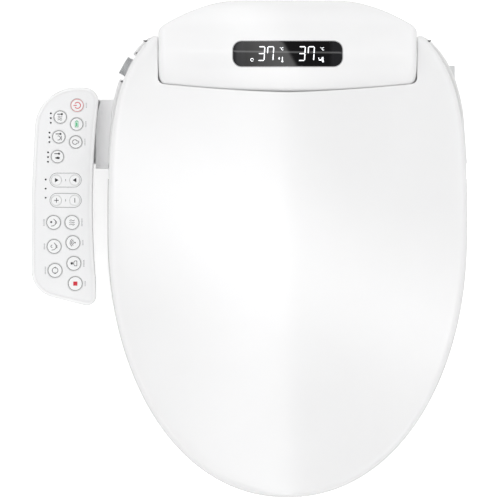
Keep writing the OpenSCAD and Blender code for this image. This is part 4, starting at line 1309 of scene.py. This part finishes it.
def sign_marks(sign: Sign) -> list[Array]:
    """The outlines of a key's sign, about its own middle, to be read with +Y upwards."""
    w = 0.62
    gauge = [stroke((3.1, -0.6), (3.1, 2.9), 0.9), circle(3.1, -1.7, 1.15, 20)]
    bowl = [sector(0.0, 0.4, 3.0, w, 200, 340), stroke((-3.4, -0.5), (-3.9, 2.4), w)]
    bowl.append(stroke((3.0, -0.4), (3.7, -0.1), w))
    air = [wave(x, 0.3, 4.6, 0.55) for x in (-2.8, -1.1, 0.6)]
    spray = [stroke((-1.4 + k, -3.4), (-0.7 + k, -1.4), 0.42) for k in (0.0, 1.1, 2.2)]
    marks = {
        Sign.POWER: [sector(0, -0.3, 3.2, 0.85, 125, 415), stroke((0, 0.6), (0, 3.6), 0.85)],
        Sign.ECO: [stroke((-3.0, 1.5), (3.0, 1.5), w), stroke((-3.0, -1.5), (3.0, -1.5), w),
                   stroke((-3.0, 1.5), (-3.0, -1.5), w), stroke((3.0, 1.5), (3.0, -1.5), w),
                   stroke((3.7, -0.5), (3.7, 0.5), 0.6), stroke((-1.6, 0), (1.2, 0), 1.5)],
        Sign.LIGHT: [sector(0, 0.9, 2.5, w, -60, 240), stroke((-1.1, -1.4), (-1.1, -2.4), w),
                     stroke((1.1, -1.4), (1.1, -2.4), w), stroke((-1.0, -3.2), (1.0, -3.2), w)],
        Sign.DRY_TEMP: [*air, *gauge],
        Sign.SEAT_TEMP: [sector(-1.2, 0.6, 2.2, w, 160, 380), stroke((-3.4, -2.6), (1.0, -2.6), w), *gauge],
        Sign.WATER_TEMP: [drop_shape(-1.4, 0.2, 2.7), *gauge],
        Sign.POSITION_UP: [np.array([[2.4, -1.6], [0.0, 2.2], [-2.4, -1.6]])],
        Sign.POSITION_DOWN: [np.array([[2.4, 1.6], [-2.4, 1.6], [0.0, -2.2]])],
        Sign.FLOW_UP: [stroke((-2.1, 0), (2.1, 0), 0.75), stroke((0, 0.5), (0, 2.1), 0.75),
                       stroke((0, -0.5), (0, -2.1), 0.75)],
        Sign.FLOW_DOWN: [stroke((-2.1, 0), (2.1, 0), 0.75)],
        Sign.REAR: [*bowl, *spray, circle(0.4, 2.6, 1.1, 20)],
        Sign.DRY: [wave(x, 0.0, 5.6, 0.62) for x in (-2.2, 0.0, 2.2)],
        Sign.PULSE: [sector(0, -1.4, 1.4, w, 20, 160), sector(0, -1.4, 2.9, w, 20, 160),
                     sector(0, -1.4, 4.4, w, 30, 150), circle(0, -2.2, 0.8, 16)],
        Sign.FRONT: [*bowl, *spray, sector(0.2, 2.3, 1.2, w, -20, 200)],
        Sign.CHILD: [circle(0, 2.2, 1.35, 24), sector(0, -3.0, 3.2, w, 35, 145),
                     stroke((-2.6, -3.2), (2.6, -3.2), w),
                     stroke((-2.6, -1.2), (-2.6, -3.2), w), stroke((2.6, -1.2), (2.6, -3.2), w)],
        Sign.AUTO: [sector(0, 0, 3.0, w, 20, 170), sector(0, 0, 3.0, w, 200, 350),
                    np.array([[-4.1, 0.5], [-1.9, 0.5], [-3.0, -1.3]]),
                    np.array([[4.1, -0.5], [1.9, -0.5], [3.0, 1.3]])],
        Sign.STOP: [np.array([[-2.2, -2.2], [2.2, -2.2], [2.2, 2.2], [-2.2, 2.2]])],
    }
    return marks[sign]


@dataclass
class Panel:
    """The side panel: a thin-edged case, its film with printed signs, seventeen keys and twelve lamps."""

    top: float = 60.0
    low: float = 38.0
    part: float = 47.0
    board: float = 53.8
    inset: float = 4.0
    lamp_columns: tuple[tuple[float, float, float], ...] = (
        (-251.5, -67.5, 5.0), (-253.0, -88.0, 5.0), (-254.5, -109.0, 5.0), (-257.0, -142.5, 9.7),
    )
    lamp_sizes: tuple[float, ...] = (1.0, 0.85, 0.7)

    def plan(self) -> Array:
        """The case from above: rounded corners on its outer side and a gently curved inner side."""
        y = np.linspace(-60.0, -240.0, 31)
        edge = -207.2 + 0.00053 * (y + 160.0) ** 2
        top_x = -207.2 + 0.00053 * (-34.8 + 160.0) ** 2 - 0.5
        corners = np.array(
            [[-203.2, -269.8, 10], [-272.3, -252.3, 30], [-272.2, -150, 300], [-266.6, -34.8, 44],
             [top_x, -34.8, 15]]
        )
        side = np.column_stack([edge, y, np.full(len(y), 0.1)])
        return resample(rounded_corners(np.vstack([corners, side]), 14), 520)

    def lamps(self) -> list[tuple[float, float, float]]:
        """Each lamp's place and radius, three down each column, each smaller than the one before."""
        return [
            (x, y + (1 - k) * gap, size)
            for x, y, gap in self.lamp_columns
            for k, size in enumerate(self.lamp_sizes)
        ]

    def build(self) -> None:
        """Makes the case, the film, what is printed on it, the keys and the lamps."""
        self.case()
        self.film()
        self.prints()
        self.keys()
        self.lights()

    def holes(self, ease: float, height: float) -> list[Array]:
        """The rims of the holes for the keys and the lamps, eased by a clearance, at a height."""
        rims = [lift(circle(x, y, r + ease, 56), height) for x, y, r in KEY_PLACES.values()]
        return rims + [lift(circle(x, y, 1.05, 20), height) for x, y, _ in self.lamps()]

    def case(self) -> None:
        """Rings up the outside, over the round edge, down into the film's seat, with a blind pit for each
        key and lamp."""
        loop = self.plan()
        normal = inward(loop)
        turn = np.linspace(math.pi / 2, 0.0, 9)
        steps = [(4.0 * (1 - math.cos(t)), self.low + 4.0 * (1 - math.sin(t))) for t in turn]
        steps += [(0.0, self.part - 0.25), (0.3, self.part - 0.2)]
        steps += [(0.3, self.part + 0.2), (0.0, self.part + 0.25)]
        steps += [(2.0 * (1 - math.cos(t)), self.top - 2.0 * (1 - math.sin(t))) for t in turn[::-1]]
        steps += [(self.inset - 0.35, self.top), (self.inset - 0.15, self.top - 0.1)]
        steps += [(self.inset - 0.15, self.top - 0.6)]
        rings = np.stack([lift(loop + normal * draw, z) for draw, z in steps])
        shape = Shape()
        shape.loft(rings)
        shape.cap(rings[0])
        seat, pit = self.top - 0.6, self.board
        rims = self.holes(0.25, seat)
        shape.fill([rings[-1], *rims], 12.0, lambda x, y: np.full(len(x), seat))
        for rim in rims:
            foot = rim * [1, 1, 0] + [0, 0, pit]
            shape.loft(np.stack([rim, foot]))
            shape.cap(foot)
        halves = ["panel_lower_case", "panel_upper_case"]
        shape.build("panel_case", "base", [PANEL_WHITE], halves, slot="casing_white")

    def film(self) -> None:
        """The film, with a hole for each key and lamp."""
        loop = self.plan()
        edge = loop + inward(loop) * (self.inset + 0.05)
        shape = Shape()
        levels = (self.top, self.top - 0.38)
        for z in levels:
            shape.fill([lift(edge, z), *self.holes(0.3, z)], 12.0, lambda x, y, z=z: np.full(len(x), z))
        for high, low in zip(*([lift(edge, z), *self.holes(0.3, z)] for z in levels)):
            shape.loft(np.stack([high, low]))
        shape.build("panel_film", "base", [FILM], ["panel_overlay"], slot="overlay_film")

    def prints(self) -> None:
        """The two long outlines round the paired keys, and rows of bars where labels would be."""
        flat = Print(lambda x, y: np.full(len(x), self.top + 0.01), thick=0.05)
        for y in (-133.5, -155.0):
            flat.centre = (-235.8, y)
            flat.band(self.capsule(0.0), self.capsule(0.45))
            flat.mark(stroke((-0.9, 0.0), (0.9, 0.0), 0.5))
        flat.shape.build("panel_outlines", "base", [INK_GREY])
        words = Print(lambda x, y: np.full(len(x), self.top + 0.01), thick=0.05)
        for number, (sign, (x, y, r)) in enumerate(KEY_PLACES.items()):
            right = x > -235.0
            words.centre = (x + r + 2.6, y) if right else (x - r - 2.4, y)
            if sign in UNLABELLED:
                continue
            words.mark(*bar_mark((0.0, 0.0), 6 + number % 4, number))
        words.shape.build("panel_labels", "base", [INK_PALE])

    def capsule(self, draw: float) -> Array:
        """The long outline round a pair of keys, drawn in, its length across the panel's reading way."""
        return pill(33.9 - 2 * draw, 15.3 - 2 * draw, (0.0, 0.0), 120)[:, ::-1] * [1, -1]

    def keys(self) -> None:
        """Each key: a cap with a soft edge on a stem, its printed ring and its sign."""
        ink = {Sign.POWER: INK_RED, Sign.STOP: INK_RED, Sign.ECO: INK_GREEN}
        high = self.top + 0.2
        for sign, (x, y, r) in KEY_PLACES.items():
            edge = [[r, 56.2], [r, high - 0.3], [r - 0.1, high - 0.09]]
            edge += [[r - 0.3, high], [r * 0.5, high], [0.0, high]]
            profile = np.vstack([[[0.0, 54.9], [2.0, 54.9], [2.0, 56.1], [r - 0.1, 56.1]], edge])
            marks = Print(lambda px, py: np.full(len(px), high - 0.005), thick=0.03, centre=(x, y))
            marks.shape.lathe(profile, x, y, 64)
            ring_ink = 2 if sign is Sign.POWER else 1
            if r > 6.0:
                marks.band(circle(0, 0, r - 0.35, 80), circle(0, 0, r - 0.85, 80), slot=ring_ink)
            marks.mark(*sign_marks(sign), slot=2)
            name = f"key_{sign.value}"
            marks.shape.build(
                f"{name}_cap", name, [KEY_WHITE, INK_GREY, ink.get(sign, INK_BLACK)], [name], slot="key_white"
            )

    def lights(self) -> None:
        """The twelve lamps, dark domes in their holes."""
        shape = Shape()
        for x, y, size in self.lamps():
            turn = np.linspace(0.0, math.pi / 2, 6)
            dome = np.stack([size * np.cos(turn), self.top - 0.5 + 0.45 * np.sin(turn)], axis=1)
            dome[-1, 0] = 0.0
            shape.lathe(np.vstack([[[0.0, 55.0], [size, 55.0]], dome]), x, y, 24)
        shape.build("panel_lamps", "base", [DARK_LAMP], ["indicator_lights"], slot="inner_dark")


# ------------------------------------------------------------------ inner parts


@dataclass
class InnerParts:
    """The parts inside, which keep their own mesh and take a finish."""

    def build(self) -> None:
        """Gives each of them its material."""
        for finish, names in INNER_PARTS.items():
            material = finish.material()
            for name in names:
                mesh = NODES[name].data
                mesh.materials.clear()
                mesh.materials.append(material)


# ------------------------------------------------------------------ stage


@dataclass
class Stage:
    """A pale floor, a sky with a card and a bright band, two soft lamps, and a camera straight above."""

    centre: tuple[float, float] = (-39.75, -207.8)
    distance: float = 8.83
    lens: float = 600.0
    across: float = 12.0
    level: float = 1.19
    floor_level: float = -0.0021
    floor_glow: float = 0.6
    lamps: tuple[tuple[str, tuple[float, float, float], float, float], ...] = (
        ("key", (-1.6, 1.4, 2.2), 1.6, 2.5), ("fill", (1.9, -1.8, 2.0), 1.8, 1.0),
    )

    def build(self) -> None:
        """Makes the floor, the sky, the lights and the camera."""
        self.floor()
        self.sky()
        self.lights()
        self.camera()
        scene = bpy.context.scene
        scene.view_settings.view_transform = "Standard"
        scene.view_settings.look = "None"

    def floor(self) -> None:
        """A wide pale floor, partly lit of itself so that it stays white."""
        half = self.across / 2
        corners = [(-half, -half, 0), (half, -half, 0), (half, half, 0), (-half, half, 0)]
        mesh = bpy.data.meshes.new("floor")
        mesh.from_pydata([(x, y, self.floor_level) for x, y, _ in corners], [], [(0, 1, 2, 3)])
        graph = Graph("floor_pale")
        grain = graph.noise(3.0, 2.0)
        graph.join("Base Color", graph.between(grain, (0.8, 0.8, 0.8), (0.83, 0.83, 0.83)))
        seen = graph.node("LightPath").outputs["Is Camera Ray"]
        glow = graph.node("MapRange", {"Value": seen, "To Min": 0.0, "To Max": self.floor_glow})
        graph.join("Emission Strength", glow.outputs["Result"])
        graph.put(Roughness=0.8, Emission_Color=(1.0, 1.0, 1.0, 1.0))
        mesh.materials.append(graph.made)
        plane = bpy.data.objects.new("floor", mesh)
        bpy.context.scene.collection.objects.link(plane)

    def sky(self) -> None:
        """The strength of the sky by direction: greyer low down, dimmer close round the zenith, with a card
        to the left of it that ends in a sharp edge, and a slanting band in front that the lid reflects."""
        world = bpy.data.worlds.new("sky")
        world.use_nodes = True
        tree = world.node_tree
        way = tree.nodes.new("ShaderNodeTexCoord").outputs["Generated"]
        split = tree.nodes.new("ShaderNodeSeparateXYZ")
        tree.links.new(way, split.inputs[0])

        def ramp(source: Socket, low: float, high: float, start: float, end: float) -> Socket:
            """A smooth run from the start level to the end level as the source goes from low to high."""
            node = tree.nodes.new("ShaderNodeMapRange")
            node.interpolation_type = "SMOOTHSTEP"
            for name, value in zip(("From Min", "From Max", "To Min", "To Max"), (low, high, start, end)):
                node.inputs[name].default_value = value
            tree.links.new(source, node.inputs["Value"])
            return node.outputs["Result"]

        def sum_of(kind: str, a: Socket, b: Socket | float) -> Socket:
            """Two values put together by one operation."""
            node = tree.nodes.new("ShaderNodeMath")
            node.operation = kind
            for place, value in enumerate((a, b)):
                if isinstance(value, float):
                    node.inputs[place].default_value = value
                else:
                    tree.links.new(value, node.inputs[place])
            return node.outputs[0]

        x, y, z = (split.outputs[axis] for axis in "XYZ")
        height = ramp(z, 0.0, 0.8, 0.5 * self.level, self.level)
        lean = sum_of("ADD", x, sum_of("MULTIPLY", y, 0.03))
        left = ramp(lean, -0.16, -0.004, 0.0, 2.4)
        left = sum_of("MULTIPLY", left, ramp(lean, -0.004, 0.004, 1.0, 0.0))
        dark = ramp(sum_of("ABSOLUTE", x, 0.0), 0.13, 0.3, 0.12, 1.0)
        dark = sum_of("MAXIMUM", dark, ramp(z, 0.6, 0.75, 1.0, 0.0))
        slope = sum_of("ADD", y, sum_of("MULTIPLY", x, 0.22))
        shine = ramp(sum_of("ABSOLUTE", sum_of("ADD", slope, 0.2), 0.0), 0.0, 0.05, 2.6, 0.0)
        shine = sum_of("MULTIPLY", shine, ramp(z, 0.8, 0.95, 0.0, 1.0))
        total = sum_of("ADD", sum_of("MULTIPLY", height, dark), sum_of("ADD", left, shine))
        back = tree.nodes["Background"]
        back.inputs["Color"].default_value = (1.0, 1.0, 1.0, 1.0)
        tree.links.new(total, back.inputs["Strength"])
        bpy.context.scene.world = world

    def lights(self) -> None:
        """Two large soft lamps high on opposite sides, each turned to the middle of the object: the tilt is
        the angle from upright, and the turn is that of the way back to the lamp."""
        for name, at, size, power in self.lamps:
            data = bpy.data.lights.new(name, "AREA")
            data.size, data.energy = size, power
            lamp = bpy.data.objects.new(name, data)
            lamp.location = at
            way = np.array([0.0, -0.2, 0.05]) - np.array(at)
            away = -way / np.linalg.norm(way)
            lamp.rotation_euler = (math.acos(away[2]), 0.0, math.atan2(away[0], -away[1]))
            bpy.context.scene.collection.objects.link(lamp)

    def camera(self) -> None:
        """A long lens straight above, so that the view is nearly without perspective."""
        data = bpy.data.cameras.new("camera")
        data.lens, data.sensor_width = self.lens, 36.0
        data.clip_start, data.clip_end = 0.1, 60.0
        camera = bpy.data.objects.new("camera", data)
        camera.location = (self.centre[0] * MM, self.centre[1] * MM, self.distance + 0.09)
        bpy.context.scene.collection.objects.link(camera)
        bpy.context.scene.camera = camera


def main() -> None:
    """Builds everything in order and logs each part as it is built."""
    logging.basicConfig(level=logging.INFO, format="%(name)s: %(message)s")
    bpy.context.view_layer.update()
    housing = Housing()
    for part in (Base(), housing, Seat(), Lid(), ReadOut(housing), Panel(), InnerParts(), Stage()):
        part.build()
        log.info("built %s", type(part).__name__)


if __name__ == "__main__":
    main()
